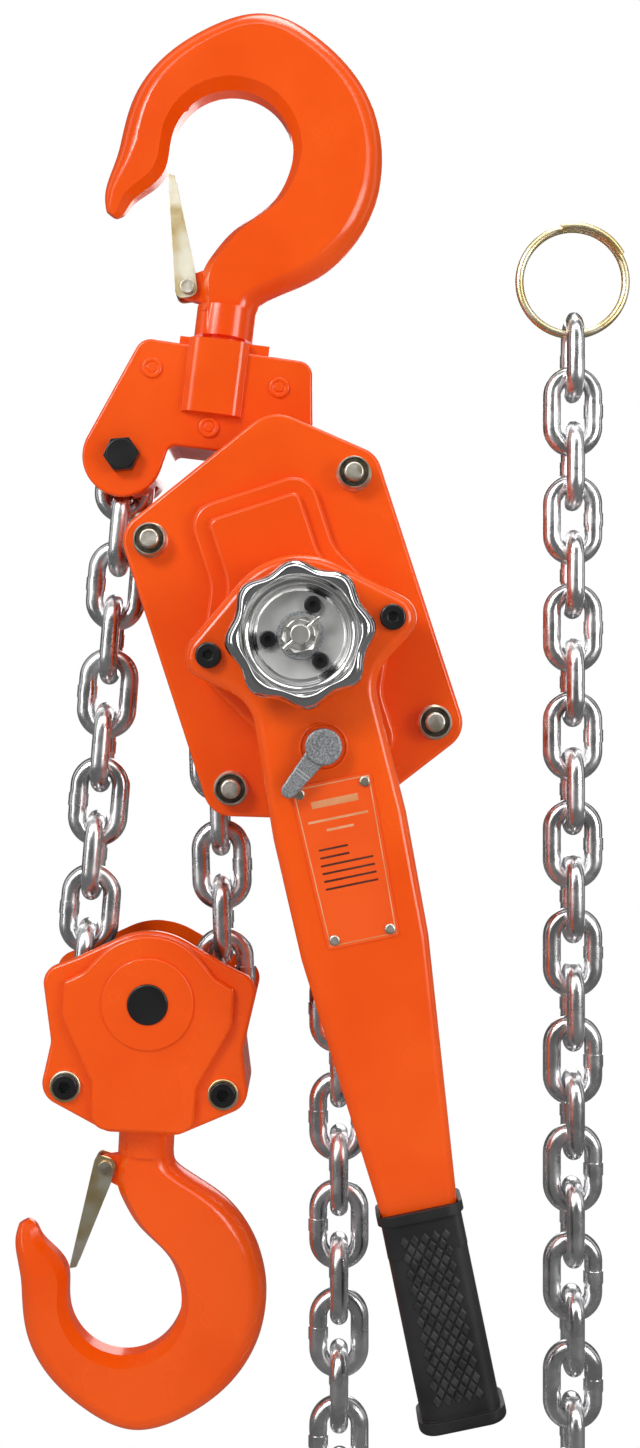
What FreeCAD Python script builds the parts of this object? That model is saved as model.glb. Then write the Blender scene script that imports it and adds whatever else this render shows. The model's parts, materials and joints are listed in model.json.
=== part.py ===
import FreeCAD, Part
import math
import os
from FreeCAD import Vector, Placement, Rotation

# Come along winch, hanging by its top hook.
# Origin at the centre of the top hook's bowl. +Z up, +Y towards the gear case, -Y towards the hand wheel.
# Sizes in millimetres, angles in degrees, clockwise seen from the hand wheel.

# Load chain
WIRE = 10.0
PITCH = 30.0
LINK_INNER_WIDTH = 13.0
LINK_PLAY = 0.3
WELD_SWELL = 0.5
WELD_LENGTH = 7.0

# Where the sub-assemblies hang, as (x, z)
TOP_HOOK_TILT = 7.0
YOKE_SHOULDER = 36.2
SHANK_OFFSET = 7.8
BODY_TILT = -18.0
MAIN_FROM_YOKE = (48.22, -132.39)
LEVER_TILT = -11.7
BLOCK_TILT = 2.9
BLOCK_FROM_YOKE = (-34.28, -326.89)
BLOCK_FOOT = 71.5
BLOCK_SHANK_TOP = 55.5

# Hooks
HOOK_THICKNESS = 28.0
HOOK_LAND = 12.0
HOOK_CHAMFER = 5.0
SHANK_RADIUS = 12.0
COLLAR_RADIUS = 16.5
COLLAR_START = 86.0
COLLAR_END = 103.0
SHANK_IN_YOKE = 47.0
BOTTOM_HOOK_SCALE = 0.93
BOTTOM_NUT_HEIGHT = 9.5
LATCH_SHEET = 1.6
LATCH_PIN_RADIUS = 2.5
LATCH_WIDTH = 13.0

# Clearances
RUN_FIT = 0.05
SEAT = 0.02
SIDE_PLAY = 0.3

# Yoke
YOKE_FACE = 22.0
YOKE_BOSS_FACE = 28.0
YOKE_BOSS_HALF_WIDTH = 16.5
YOKE_LOBE_RADIUS = 22.0
YOKE_PIN_LOBE_RADIUS = 19.0
ANCHOR_AT = (-44.9, -36.9)
ANCHOR_RADIUS = 6.0
ANCHOR_HEAD_ACROSS = 17.0
ANCHOR_HEAD_HEIGHT = 6.5
YOKE_RIVETS_AT = ((-34.7, 12.2), (34.9, 9.9), (-0.2, -16.2))
RIVET_RADIUS = 4.5
RIVET_HEAD_RADIUS = 5.6
RIVET_HEAD_HEIGHT = 1.6
PIN_RADIUS = 9.0
PIN_HEAD_RADIUS = 12.0
PIN_HEAD_HEIGHT = 2.5
HOOK_NUT_RADIUS = 17.0
HOOK_NUT_HEIGHT = 14.0
NUT_DROP = 0.8

# Hoist body
BODY_SHIFT = -3.0
STAY_HALF_WIDTH = 56.5
STAY_TOP = 75.0
STAY_BOTTOM = -63.0
BODY_CORNER = 15.0
PIN_AT = (18.3, 98.3)
PIN_LUG_RADIUS = 21.0
BODY_FOOT = -90.0
BODY_FOOT_HALF_WIDTH = 23.0
FRAME_INNER = 23.0
FRAME_THICKNESS = 5.0
COVER_FACE = 43.0
CASE_FACE = 62.0
COVER_SHEET = 2.5
CASE_SHEET = 2.5
EMBOSS_STEPS = ((6.0, 0.0), (11.0, 9.0))
STAY_RADIUS = 5.0
NUT_ACROSS = 15.5
NUT_HEIGHT = 7.0
NUT_WASHER = 1.2

# Lever
LEVER_BACK = 56.5
LEVER_SPLIT = 67.0
LEVER_FACE = 81.0
LEVER_HEAD_RADIUS = 42.0
LEVER_EAR_AT = 47.5
LEVER_EAR_RADIUS = 12.5
LEVER_NECK_HALF = 30.0
LEVER_NECK_AT = -50.0
LEVER_WAIST_HALF = 34.5
LEVER_WAIST_AT = -98.0
LEVER_HIP_HALF = 33.0
LEVER_HIP_AT = -160.0
LEVER_WRIST_HALF = 19.0
LEVER_WRIST_AT = -292.0
LEVER_TAIL_AT = -400.0
LEVER_SHEET = 3.0
LEVER_EDGE = 6.0
GRIP_TOP = -296.0
GRIP_END = -409.0
GRIP_HALF_WIDTH = 20.5
GRIP_HALF_DEPTH = 14.5
GRIP_COLLAR = 1.8
GRIP_FLANGE = 2.2
SELECTOR_AT = (0.0, -57.0)
SELECTOR_DISC_RADIUS = 9.4
SELECTOR_LENGTH = 31.8
SELECTOR_WIDTH = 8.0
SELECTOR_HEIGHT = 7.0
SELECTOR_BOSS = 2.4
SELECTOR_REST = 220.0
PLATE_TOP = -74.0
PLATE_BOTTOM = -158.0
PLATE_TOP_HALF = 21.0
PLATE_BOTTOM_HALF = 18.5
PLATE_SHEET = 0.8
PLATE_RIVET_INSET = 4.2

# Hand wheel
WHEEL_RADIUS = 36.2
WHEEL_SCALLOP = 2.0
WHEEL_LOBES = 8
WHEEL_PHASE = 6.0
WHEEL_BACK = 84.0
WHEEL_FACE = 106.0
WHEEL_DISH_RADIUS = 27.5
WHEEL_FLOOR_RADIUS = 21.0
WHEEL_DISH_DEPTH = 14.0
WHEEL_HUB_BORE = 7.0
WHEEL_SCREW_CIRCLE = 16.3
WHEEL_SCREW_PHASE = 56.0
SHAFT_RADIUS = 7.0
SHAFT_TIP_RADIUS = 5.0

# Sheaves
LOAD_POCKETS = 5
IDLER_POCKETS = 4
SHEAVE_FLANGE_INNER = 17.2
SHEAVE_FLANGE_OUTER = 20.5

# Brake and gears, seen from the main axis
BEARING_RADIUS = 16.0
HUB_SLEEVE_RADIUS = 13.0
PAWL_PIN_RADIUS = 3.0
PAWL_SPOTS = ((-37.0, 14.0), (37.0, -14.0))
GEAR_PIN_RADIUS = 4.0
GEAR_DISTANCE = 35.0
DISC_GEAR_SPOTS = ((0.0, GEAR_DISTANCE), (0.0, -GEAR_DISTANCE))
PINION_TEETH = 12
DISC_GEAR_TEETH = 44
FINE_MODULE = 1.25
SMALL_PINION_TEETH = 10
LOAD_GEAR_TEETH = 25
COARSE_MODULE = 2.0
LOAD_GEAR_Y = 30.0
PINION_Y = 39.0
SHAFT_NECK = 5.6
CHANGE_GEAR_TEETH = 18
CHANGE_GEAR_MODULE = 2.0
CHANGE_GEAR_TIP = 20.0
SELECTOR_SWING = 24.0
COTTER_ANGLE = 30.5
COTTER_RADIUS = 1.1
COTTER_LENGTH = 22.0
COTTER_Y = -100.5
SHEAVE_HUB_RADIUS = 12.0
POCKET_PLAY = 0.5
HUB_Y = -29.5
CHANGE_Y = -42.0
FRICTION_RADIUS = 22.0
FRICTION_BORE = 11.0
RATCHET_RADIUS = 30.0
RATCHET_TEETH = 16
STRIPPER_ANGLE = -118.0
STRIPPER_REACH = 54.0
GUIDE_AT = (-7.9, -48.4)
CASE_STEP = 50.0
CASE_DRUM = ((-6.0, 22.0, 42.0), (-6.0, -26.0, 42.0), (0.0, -26.0, 42.0), (0.0, 22.0, 42.0))

# Lower block
BLOCK_WALL = 4.0
BLOCK_FACE = 30.0
BLOCK_BOLTS_AT = (42.5, -47.0)
BLOCK_BOLT_RADIUS = 4.0
BLOCK_SLEEVE_RADIUS = 8.5
AXLE_RADIUS = 11.0
AXLE_DIMPLE = 25.0

# Chain run
CHAIN_SLACK = 0.05
LEFT_LINKS = 10
RIGHT_LINKS = 7
IDLER_LINKS = 4
SHEAVE_LINKS = 6
TAIL_FROM_AXIS = 20.3
TAIL_LINKS_DOWN = 13
TURN_HEADINGS = (-63, -38, -14, 12, 40, 70)
RISE_LINKS = 21
RING_RADIUS = 31.8
RING_WIRE = 4.6
RING_OVERLAP_START = 28.0
RING_OVERLAP = 75.0

FRONT = -1
REAR = 1


def flat(u, w, y=0.0):
    return Vector(u, y, w)


def turned(point, angle):
    c = math.cos(math.radians(angle))
    s = math.sin(math.radians(angle))
    return (point[0] * c + point[1] * s, -point[0] * s + point[1] * c)


def placed(shape, at, tilt):
    body = shape.copy()
    move = Placement(Vector(at[0], 0, at[1]), Rotation(Vector(0, 1, 0), tilt))
    body.Placement = move.multiply(shape.Placement)
    return body


def merged(first, others):
    shape = first
    if others:
        shape = first.fuse(others)
    return shape.removeSplitter()


def without(shape, others):
    return shape.cut(others)


def export(shape, name):
    shape.exportStep("parts/" + name + ".step")


def round_bar(u, w, radius, y0, y1):
    low = min(y0, y1)
    return Part.makeCylinder(radius, abs(y1 - y0), flat(u, w, low), Vector(0, 1, 0))


def upright_bar(u, y, radius, w0, w1):
    return Part.makeCylinder(radius, w1 - w0, flat(u, w0, y), Vector(0, 0, 1))


def block_of(u0, u1, y0, y1, w0, w1):
    return Part.makeBox(u1 - u0, abs(y1 - y0), w1 - w0, flat(u0, w0, min(y0, y1)))


def outline(corners, y):
    """Closed wire at depth y. Each corner is (u, w, radius) and is rounded by its radius."""
    count = len(corners)
    stretches = []
    for index, (u, w, radius) in enumerate(corners):
        here = flat(u, w, y)
        before = corners[index - 1]
        after = corners[(index + 1) % count]
        back = (flat(before[0], before[1], y) - here).normalize()
        ahead = (flat(after[0], after[1], y) - here).normalize()
        half = back.getAngle(ahead) / 2
        if radius <= 0 or half > math.pi / 2 - 0.001:
            stretches.append((here, None, here))
            continue
        reach = radius / math.tan(half)
        inward = (back + ahead).normalize()
        middle = here + inward * (radius / math.sin(half) - radius)
        stretches.append((here + back * reach, middle, here + ahead * reach))
    edges = []
    for index, (start, middle, end) in enumerate(stretches):
        if middle is not None:
            edges.append(Part.Arc(start, middle, end).toShape())
        following = stretches[(index + 1) % count][0]
        if (following - end).Length > 0.001:
            edges.append(Part.makeLine(end, following))
    return Part.Wire(edges)


def belt(discs, y):
    """Closed wire at depth y, run counter-clockwise round discs. Each disc is (u, w, radius).
    A negative radius is a disc outside the shape, which hollows the outline."""
    count = len(discs)
    headings = []
    for index, (u, w, radius) in enumerate(discs):
        after = discs[(index + 1) % count]
        gap = math.hypot(after[0] - u, after[1] - w)
        heading = math.atan2(after[1] - w, after[0] - u) + math.asin((radius - after[2]) / gap)
        headings.append(heading)

    def rim(disc, heading):
        return flat(disc[0] + disc[2] * math.sin(heading), disc[1] - disc[2] * math.cos(heading), y)

    edges = []
    for index, disc in enumerate(discs):
        arriving = headings[index - 1]
        leaving = headings[index]
        sweep = (leaving - arriving) % (2 * math.pi)
        if disc[2] < 0:
            sweep -= 2 * math.pi
        start, end = rim(disc, arriving), rim(disc, leaving)
        if disc[2] != 0:
            edges.append(Part.Arc(start, rim(disc, arriving + sweep / 2), end).toShape())
        following = rim(discs[(index + 1) % count], leaving)
        edges.append(Part.makeLine(end, following))
    return Part.Wire(edges)


def both_sides(top, right):
    """Discs of a symmetrical outline, counter-clockwise from its top."""
    left = [(-u, w, radius) for u, w, radius in right]
    return [top, *left, *reversed(right)]


def pulled_in(discs, amount):
    """The same outline, moved inwards by the amount."""
    return [(u, w, radius - amount) for u, w, radius in discs]


def plate(discs, y0, y1):
    low = min(y0, y1)
    return Part.Face(belt(discs, low)).extrude(Vector(0, abs(y1 - y0), 0))


def slab(corners, y0, y1):
    low = min(y0, y1)
    return Part.Face(outline(corners, low)).extrude(Vector(0, abs(y1 - y0), 0))


def six_sided(u, w, across, y0, y1, turn=0.0):
    corners = []
    for step in range(6):
        angle = math.radians(60 * step + turn)
        reach = across / 2 / math.cos(math.radians(30))
        corners.append((u + reach * math.cos(angle), w + reach * math.sin(angle), 0))
    return slab(corners, y0, y1)


def softened(shape, y, radius):
    """Rounds every edge that lies at depth y."""
    edges = []
    for edge in shape.Edges:
        box = edge.BoundBox
        if abs(box.YMin - y) < 0.01 and abs(box.YMax - y) < 0.01:
            edges.append(edge)
    return shape.makeFillet(radius, edges)


def joint_between(near, reach, far, radius, side):
    """Point at one distance from near and another from far, on the side given by -1 or 1."""
    gap = math.hypot(far[0] - near[0], far[1] - near[1])
    along = (reach ** 2 - radius ** 2 + gap ** 2) / (2 * gap)
    off = math.sqrt(reach ** 2 - along ** 2)
    unit = ((far[0] - near[0]) / gap, (far[1] - near[1]) / gap)
    return (near[0] + unit[0] * along + side * unit[1] * off,
            near[1] + unit[1] * along - side * unit[0] * off)


YOKE_REACH = COLLAR_END + YOKE_SHOULDER
SHANK_END = COLLAR_END + SHANK_IN_YOKE
BOTTOM_HOOK_REACH = COLLAR_END * BOTTOM_HOOK_SCALE + BLOCK_FOOT
BOTTOM_SHANK_END = BOTTOM_HOOK_REACH - BLOCK_SHANK_TOP
YOKE_AT = turned((SHANK_OFFSET, -YOKE_REACH), TOP_HOOK_TILT)
MAIN_AXIS = (YOKE_AT[0] + MAIN_FROM_YOKE[0], YOKE_AT[1] + MAIN_FROM_YOKE[1])
BLOCK_AXLE = (YOKE_AT[0] + BLOCK_FROM_YOKE[0], YOKE_AT[1] + BLOCK_FROM_YOKE[1])
HOOK_FROM_AXLE = turned((-SHANK_OFFSET * BOTTOM_HOOK_SCALE, -BOTTOM_HOOK_REACH), BLOCK_TILT)
BLOCK_HOOK_AT = (BLOCK_AXLE[0] + HOOK_FROM_AXLE[0], BLOCK_AXLE[1] + HOOK_FROM_AXLE[1])


# Hook stations from the nose round the bowl to the neck: inner point, outer point, thickness share
HOOK_STATIONS = (
    ((-59.5, 42.5), (-65.5, 39.5), 0.28),
    ((-52.5, 34.5), (-67.3, 29.0), 0.52),
    ((-44.5, 26.0), (-65.6, 19.0), 0.72),
    ((-35.5, 14.5), (-63.0, 8.0), 0.88),
    ((-34.0, 0.0), (-61.6, -3.5), 0.96),
    ((-30.8, -14.4), (-57.8, -24.5), 1.0),
    ((-21.9, -26.0), (-45.0, -47.5), 1.0),
    ((-8.8, -32.8), (-21.0, -68.0), 1.0),
    ((5.9, -33.5), (9.5, -79.3), 1.0),
    ((19.5, -27.9), (41.0, -68.8), 1.0),
    ((29.4, -17.0), (67.5, -46.0), 1.0),
    ((33.9, -3.0), (82.0, -16.0), 1.0),
    ((32.8, 8.8), (84.0, 6.0), 1.0),
    ((26.6, 24.0), (81.2, 23.5), 1.0),
    ((15.0, 35.5), (74.5, 40.0), 1.0),
    ((4.5, 45.5), (62.0, 56.5), 1.0),
    ((-3.0, 57.0), (47.5, 67.3), 1.0),
    ((-7.5, 67.5), (34.0, 75.0), 1.0),
    ((-7.5, 78.0), (26.5, 80.5), 1.0),
    ((-8.0, 90.0), (24.0, 91.0), 1.0),
)
LATCH_PIN_AT = (-15.0, 77.0)
LATCH_TIP_AT = (-31.0, 15.5)


def hook_section(inner, outer, thickness, land, chamfer):
    span = Vector(outer[0] - inner[0], 0, outer[1] - inner[1])
    width = span.Length
    along = span.normalize()
    start = flat(inner[0], inner[1])
    deep = min(chamfer, width * 0.3)
    round_end = width - min(thickness * 0.4, width * 0.45)
    half = thickness / 2
    flat_half = min(land / 2, half * 0.45)

    def spot(reach, depth):
        return start + along * reach + Vector(0, depth, 0)

    corners = [spot(0, -flat_half), spot(deep, -half), spot(round_end, -half)]
    back = [spot(round_end, half), spot(deep, half), spot(0, flat_half)]
    edges = [Part.makeLine(corners[0], corners[1]), Part.makeLine(corners[1], corners[2]),
             Part.Arc(corners[2], spot(width, 0), back[0]).toShape(),
             Part.makeLine(back[0], back[1]), Part.makeLine(back[1], back[2]),
             Part.makeLine(back[2], corners[0])]
    return Part.Wire(edges)


def hook_forging(scale, shank_end):
    """Hook with its bowl at the origin, shank up and nose to the left."""
    sections = []
    for inner, outer, share in HOOK_STATIONS:
        sections.append(hook_section((inner[0] * scale, inner[1] * scale),
                                     (outer[0] * scale, outer[1] * scale),
                                     HOOK_THICKNESS * share * scale, HOOK_LAND * scale,
                                     HOOK_CHAMFER * scale))
    bend = Part.makeLoft(sections, True, False)
    shank_u = SHANK_OFFSET * scale
    collar = upright_bar(shank_u, 0, COLLAR_RADIUS * scale, COLLAR_START * scale, COLLAR_END * scale)
    shank = upright_bar(shank_u, 0, SHANK_RADIUS, COLLAR_END * scale - 2, shank_end)
    pin_u, pin_w = LATCH_PIN_AT[0] * scale, LATCH_PIN_AT[1] * scale
    ear = slab([(pin_u - 4.6, pin_w - 5, 4.5), (pin_u + 14, pin_w - 14, 2), (pin_u + 14, pin_w + 8, 2),
                (pin_u - 4.6, pin_w + 4.6, 4.5)], -3.5, 3.5)
    hook = merged(bend, [collar, shank, ear])
    return without(hook, [round_bar(pin_u, pin_w, LATCH_PIN_RADIUS + RUN_FIT, -9, 9)])


def hook_latch(scale):
    """Folded sheet latch: a channel open towards the bowl's back, tapering to its tip."""
    pin_u, pin_w = LATCH_PIN_AT[0] * scale, LATCH_PIN_AT[1] * scale
    tip_u, tip_w = LATCH_TIP_AT[0] * scale, LATCH_TIP_AT[1] * scale
    length = math.hypot(tip_u - pin_u, tip_w - pin_w)
    half = LATCH_WIDTH / 2
    profile = [(-7.4, 5.6, 4), (5, 5.6, 4.5), (5.2, -8, 6), (1.2, -length + 2, 0.8), (-2.4, -length, 0.8)]
    outer = slab(profile, -half, half)
    hollow = slab([(-5.8, 8, 0), (9, 8, 0), (9, -length - 5, 0), (-0.7, -length - 5, 0)],
                  -half + LATCH_SHEET, half - LATCH_SHEET)
    sheet = without(outer, [hollow, round_bar(0, 0, LATCH_PIN_RADIUS + RUN_FIT, -half - 1, half + 1)])
    angle = math.degrees(math.atan2(pin_u - tip_u, pin_w - tip_w))
    return placed(sheet, (pin_u, pin_w), angle)


def latch_pin(scale):
    half = LATCH_WIDTH / 2
    pin_u, pin_w = LATCH_PIN_AT[0] * scale, LATCH_PIN_AT[1] * scale
    head = LATCH_PIN_RADIUS + 1.3
    stem = round_bar(pin_u, pin_w, LATCH_PIN_RADIUS, -half - 1.8, half + 1.8)
    return merged(stem, [round_bar(pin_u, pin_w, head, -half - 1.8, -half - RUN_FIT),
                         round_bar(pin_u, pin_w, head, half + RUN_FIT, half + 1.8)])


def hook_nut(scale, shank_end, height):
    low = shank_end - height - NUT_DROP
    u = SHANK_OFFSET * scale
    nut = upright_bar(u, 0, HOOK_NUT_RADIUS, low, low + height)
    return without(nut, [upright_bar(u, 0, SHANK_RADIUS + SEAT, low - 1, low + height + 1)])


def hang_top(shape):
    """Turns a hook upside down about its own X axis and hangs it from the top."""
    over = shape.copy()
    over.rotate(Vector(0, 0, 0), Vector(1, 0, 0), 180)
    return placed(over, (0, 0), TOP_HOOK_TILT)


def hang_bottom(shape):
    return placed(shape, BLOCK_HOOK_AT, BLOCK_TILT)


def build_hooks():
    export(hang_top(hook_forging(1.0, SHANK_END)), "top_hook")
    export(hang_top(hook_latch(1.0)), "top_hook_latch")
    export(hang_top(latch_pin(1.0)), "top_latch_pin")
    export(hang_top(hook_nut(1.0, SHANK_END, HOOK_NUT_HEIGHT)), "top_hook_nut")
    export(hang_bottom(hook_forging(BOTTOM_HOOK_SCALE, BOTTOM_SHANK_END)), "bottom_hook")
    export(hang_bottom(hook_latch(BOTTOM_HOOK_SCALE)), "bottom_hook_latch")
    export(hang_bottom(latch_pin(BOTTOM_HOOK_SCALE)), "bottom_latch_pin")
    export(hang_bottom(hook_nut(BOTTOM_HOOK_SCALE, BOTTOM_SHANK_END, BOTTOM_NUT_HEIGHT)),
           "bottom_hook_nut")


def yoke_pin_spot():
    """Where the body hangs from the yoke, seen from the yoke."""
    reach = turned(PIN_AT, BODY_TILT)
    world = (MAIN_AXIS[0] + reach[0] - YOKE_AT[0], MAIN_AXIS[1] + reach[1] - YOKE_AT[1])
    return turned(world, -TOP_HOOK_TILT)


def yoke_half(side):
    """One forged half: flat cheeks, a boss over the hook's shank and a lobe for the chain anchor."""
    pin = yoke_pin_spot()
    au, aw = ANCHOR_AT
    lobe = YOKE_LOBE_RADIUS
    face = side * YOKE_FACE
    split = side * SIDE_PLAY / 2
    rim = [(au + 8.5, 19, 9), (au, aw, lobe), (au + 28.5, aw + 4, -5), (au + 52, aw + 1, -8),
           (pin[0], pin[1], YOKE_PIN_LOBE_RADIUS), (44, 18, 8)]
    shape = softened(plate(rim, split, face), face, 1.8)
    boss_half = YOKE_BOSS_HALF_WIDTH
    boss = block_of(-boss_half, boss_half, side * 8, side * YOKE_BOSS_FACE, -9, 31)
    uprights = []
    for edge in boss.Edges:
        box = edge.BoundBox
        if box.ZLength > 30 and abs(abs(box.YMin) - YOKE_BOSS_FACE) < 0.01:
            uprights.append(edge)
    boss = boss.makeFillet(7.0, uprights)
    shoulder = block_of(-22, 27, split, side * (YOKE_FACE - 3), 24, 32)
    shape = merged(shape, [boss, shoulder])
    link_half = LINK_INNER_WIDTH / 2 + WIRE
    nut_low = YOKE_REACH - SHANK_END + NUT_DROP - SIDE_PLAY
    cuts = [block_of(au - link_half - 2, au + link_half + 2, 0, side * (WIRE / 2 + 0.9),
                     aw - lobe - 5, aw + PITCH / 2 + 7),
            block_of(au - WIRE / 2 - 2.4, au + WIRE / 2 + 2.4, 0, side * (link_half + 1.0),
                     aw - lobe - 5, aw - 10.5),
            upright_bar(0, 0, SHANK_RADIUS + RUN_FIT, nut_low, 45),
            upright_bar(0, 0, HOOK_NUT_RADIUS + 0.5, nut_low - NUT_DROP - 1,
                        nut_low + HOOK_NUT_HEIGHT + 2 * SIDE_PLAY),
            round_bar(au, aw, ANCHOR_RADIUS + SEAT, 0, side * 40),
            round_bar(pin[0], pin[1], PIN_RADIUS + SEAT, 0, side * 40)]
    for u, w in YOKE_RIVETS_AT:
        cuts.append(round_bar(u, w, RIVET_RADIUS + SEAT, 0, side * 40))
    return without(shape, cuts)


def yoke_rivets():
    rivets = []
    for u, w in YOKE_RIVETS_AT:
        rivet = round_bar(u, w, RIVET_RADIUS, -YOKE_FACE - 1, YOKE_FACE + 1)
        heads = []
        for side in (FRONT, REAR):
            head = round_bar(u, w, RIVET_HEAD_RADIUS, side * YOKE_FACE, side * (YOKE_FACE + RIVET_HEAD_HEIGHT))
            heads.append(softened(head, side * (YOKE_FACE + RIVET_HEAD_HEIGHT), 0.9))
        rivets.append(merged(rivet, heads))
    return Part.makeCompound(rivets)


def anchor_bolt():
    au, aw = ANCHOR_AT
    head_end = -YOKE_FACE - ANCHOR_HEAD_HEIGHT
    shank = round_bar(au, aw, ANCHOR_RADIUS, -YOKE_FACE, YOKE_FACE + 9)
    head = six_sided(au, aw, ANCHOR_HEAD_ACROSS, head_end, -YOKE_FACE, 12)
    return merged(shank, [head, round_bar(au, aw, ANCHOR_HEAD_ACROSS / 2 - 0.6, head_end - 0.5, head_end)])


def anchor_nut():
    au, aw = ANCHOR_AT
    nut = six_sided(au, aw, ANCHOR_HEAD_ACROSS, YOKE_FACE, YOKE_FACE + 8, 12)
    return without(nut, [round_bar(au, aw, ANCHOR_RADIUS + SEAT, YOKE_FACE - 1, YOKE_FACE + 12)])


def build_yoke():
    for side, name in ((FRONT, "yoke_front_half"), (REAR, "yoke_rear_half")):
        export(placed(yoke_half(side), YOKE_AT, TOP_HOOK_TILT), name)
    export(placed(yoke_rivets(), YOKE_AT, TOP_HOOK_TILT), "yoke_rivets")
    export(placed(anchor_bolt(), YOKE_AT, TOP_HOOK_TILT), "anchor_bolt")
    export(placed(anchor_nut(), YOKE_AT, TOP_HOOK_TILT), "anchor_nut")


BODY_DISCS = (
    (BODY_SHIFT - STAY_HALF_WIDTH, STAY_TOP, BODY_CORNER),
    (BODY_SHIFT - STAY_HALF_WIDTH, STAY_BOTTOM, BODY_CORNER),
    (BODY_SHIFT - BODY_FOOT_HALF_WIDTH, BODY_FOOT + BODY_CORNER, BODY_CORNER),
    (BODY_SHIFT + BODY_FOOT_HALF_WIDTH, BODY_FOOT + BODY_CORNER, BODY_CORNER),
    (BODY_SHIFT + STAY_HALF_WIDTH, STAY_BOTTOM, BODY_CORNER),
    (BODY_SHIFT + STAY_HALF_WIDTH, STAY_TOP, BODY_CORNER),
    (PIN_AT[0], PIN_AT[1], PIN_LUG_RADIUS),
)
STAY_SPOTS = tuple((BODY_SHIFT + across * STAY_HALF_WIDTH, height)
                   for across in (-1, 1) for height in (STAY_BOTTOM, STAY_TOP))
CHAIN_SIDE_STAY = (BODY_SHIFT - STAY_HALF_WIDTH, STAY_BOTTOM)
EMBOSS_HALF_WIDTH = 34.5
EMBOSS_TOP = 84.0
EMBOSS_BOTTOM = -74.0
EMBOSS_EAR = 53.0
EMBOSS_CORNER = 14.0
FRAME_OUTER = FRAME_INNER + FRAME_THICKNESS


def emboss_discs():
    """Raised middle of the brake cover: an upright panel with an ear at each side of the axis."""
    mid = BODY_SHIFT + 0.5
    half = EMBOSS_HALF_WIDTH - EMBOSS_CORNER
    ear = EMBOSS_EAR - 17
    hollow = EMBOSS_HALF_WIDTH + 18
    top = EMBOSS_TOP - EMBOSS_CORNER
    foot = EMBOSS_BOTTOM + EMBOSS_CORNER
    return [(mid - half, top, EMBOSS_CORNER), (mid - hollow, 46, -18), (mid - ear, 0, 17),
            (mid - hollow, -44, -18), (mid - half, foot, EMBOSS_CORNER), (mid + half, foot, EMBOSS_CORNER),
            (mid + hollow, -44, -18), (mid + ear, 0, 17), (mid + hollow, 46, -18),
            (mid + half, top, EMBOSS_CORNER)]


def frame_plate(side):
    """Side plate that carries the yoke pin, the stay bolts and the sheave's bearing."""
    discs = pulled_in(BODY_DISCS, COVER_SHEET + 0.5)
    sheet = plate(discs, side * FRAME_INNER, side * FRAME_OUTER)
    cuts = [round_bar(PIN_AT[0], PIN_AT[1], PIN_RADIUS + RUN_FIT, side * 20, side * 40),
            round_bar(0, 0, BEARING_RADIUS + SEAT, side * 20, side * 40)]
    for u, w in STAY_SPOTS:
        cuts.append(round_bar(u, w, STAY_RADIUS + SEAT, side * 20, side * 40))
    for u, w in PAWL_SPOTS:
        if side == FRONT:
            cuts.append(round_bar(u, w, PAWL_PIN_RADIUS + SEAT, side * 20, side * 40))
    for u, w in DISC_GEAR_SPOTS:
        if side == REAR:
            cuts.append(round_bar(u, w, GEAR_PIN_RADIUS + RUN_FIT, side * 20, side * 40))
    return without(sheet, cuts)


def pan(discs, side, seat, face, sheet):
    """Deep drawn cover: open at its seat against the frame plate, with a rounded face edge."""
    outside = softened(plate(discs, side * seat, side * face), side * face, 2.4)
    inside = plate(pulled_in(discs, sheet), side * (seat - 1), side * (face - sheet))
    return outside, inside


def brake_cover():
    outside, inside = pan(BODY_DISCS, FRONT, FRAME_OUTER, COVER_FACE, COVER_SHEET)
    raised = []
    hollows = [inside]
    for (rise, step_in), radius in zip(EMBOSS_STEPS, (2.8, 2.8)):
        discs = pulled_in(emboss_discs(), step_in)
        face = -(COVER_FACE + rise)
        raised.append(softened(plate(discs, -FRAME_OUTER - 8, face), face, radius))
        hollows.append(plate(pulled_in(discs, COVER_SHEET), -FRAME_OUTER - 6, face + COVER_SHEET))
    shape = merged(outside, raised)
    cuts = hollows + [round_bar(0, 0, HUB_SLEEVE_RADIUS + 1.5, -30, -70)]
    for u, w in STAY_SPOTS:
        cuts.append(round_bar(u, w, STAY_RADIUS + SEAT, -30, -60))
    return without(shape, cuts)


def gear_case():
    """Cover over the gear train, with a drum shaped boss over the load gear."""
    outside, inside = pan(BODY_DISCS, REAR, FRAME_OUTER, CASE_STEP, CASE_SHEET)
    drum_face = CASE_FACE
    drum = softened(plate(CASE_DRUM, FRAME_OUTER + 6, drum_face), drum_face, 5.0)
    boss = softened(round_bar(0, 0, 15, drum_face - 5, drum_face + 4), drum_face + 4, 1.5)
    hollow = plate(pulled_in(CASE_DRUM, CASE_SHEET), FRAME_OUTER, drum_face - CASE_SHEET)
    cuts = [inside, hollow, round_bar(0, 0, SHAFT_RADIUS + RUN_FIT, drum_face - 6, drum_face + 2.3)]
    for u, w in STAY_SPOTS:
        cuts.append(round_bar(u, w, STAY_RADIUS + SEAT, 30, 70))
    return without(merged(outside, [drum, boss]), cuts)


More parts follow.
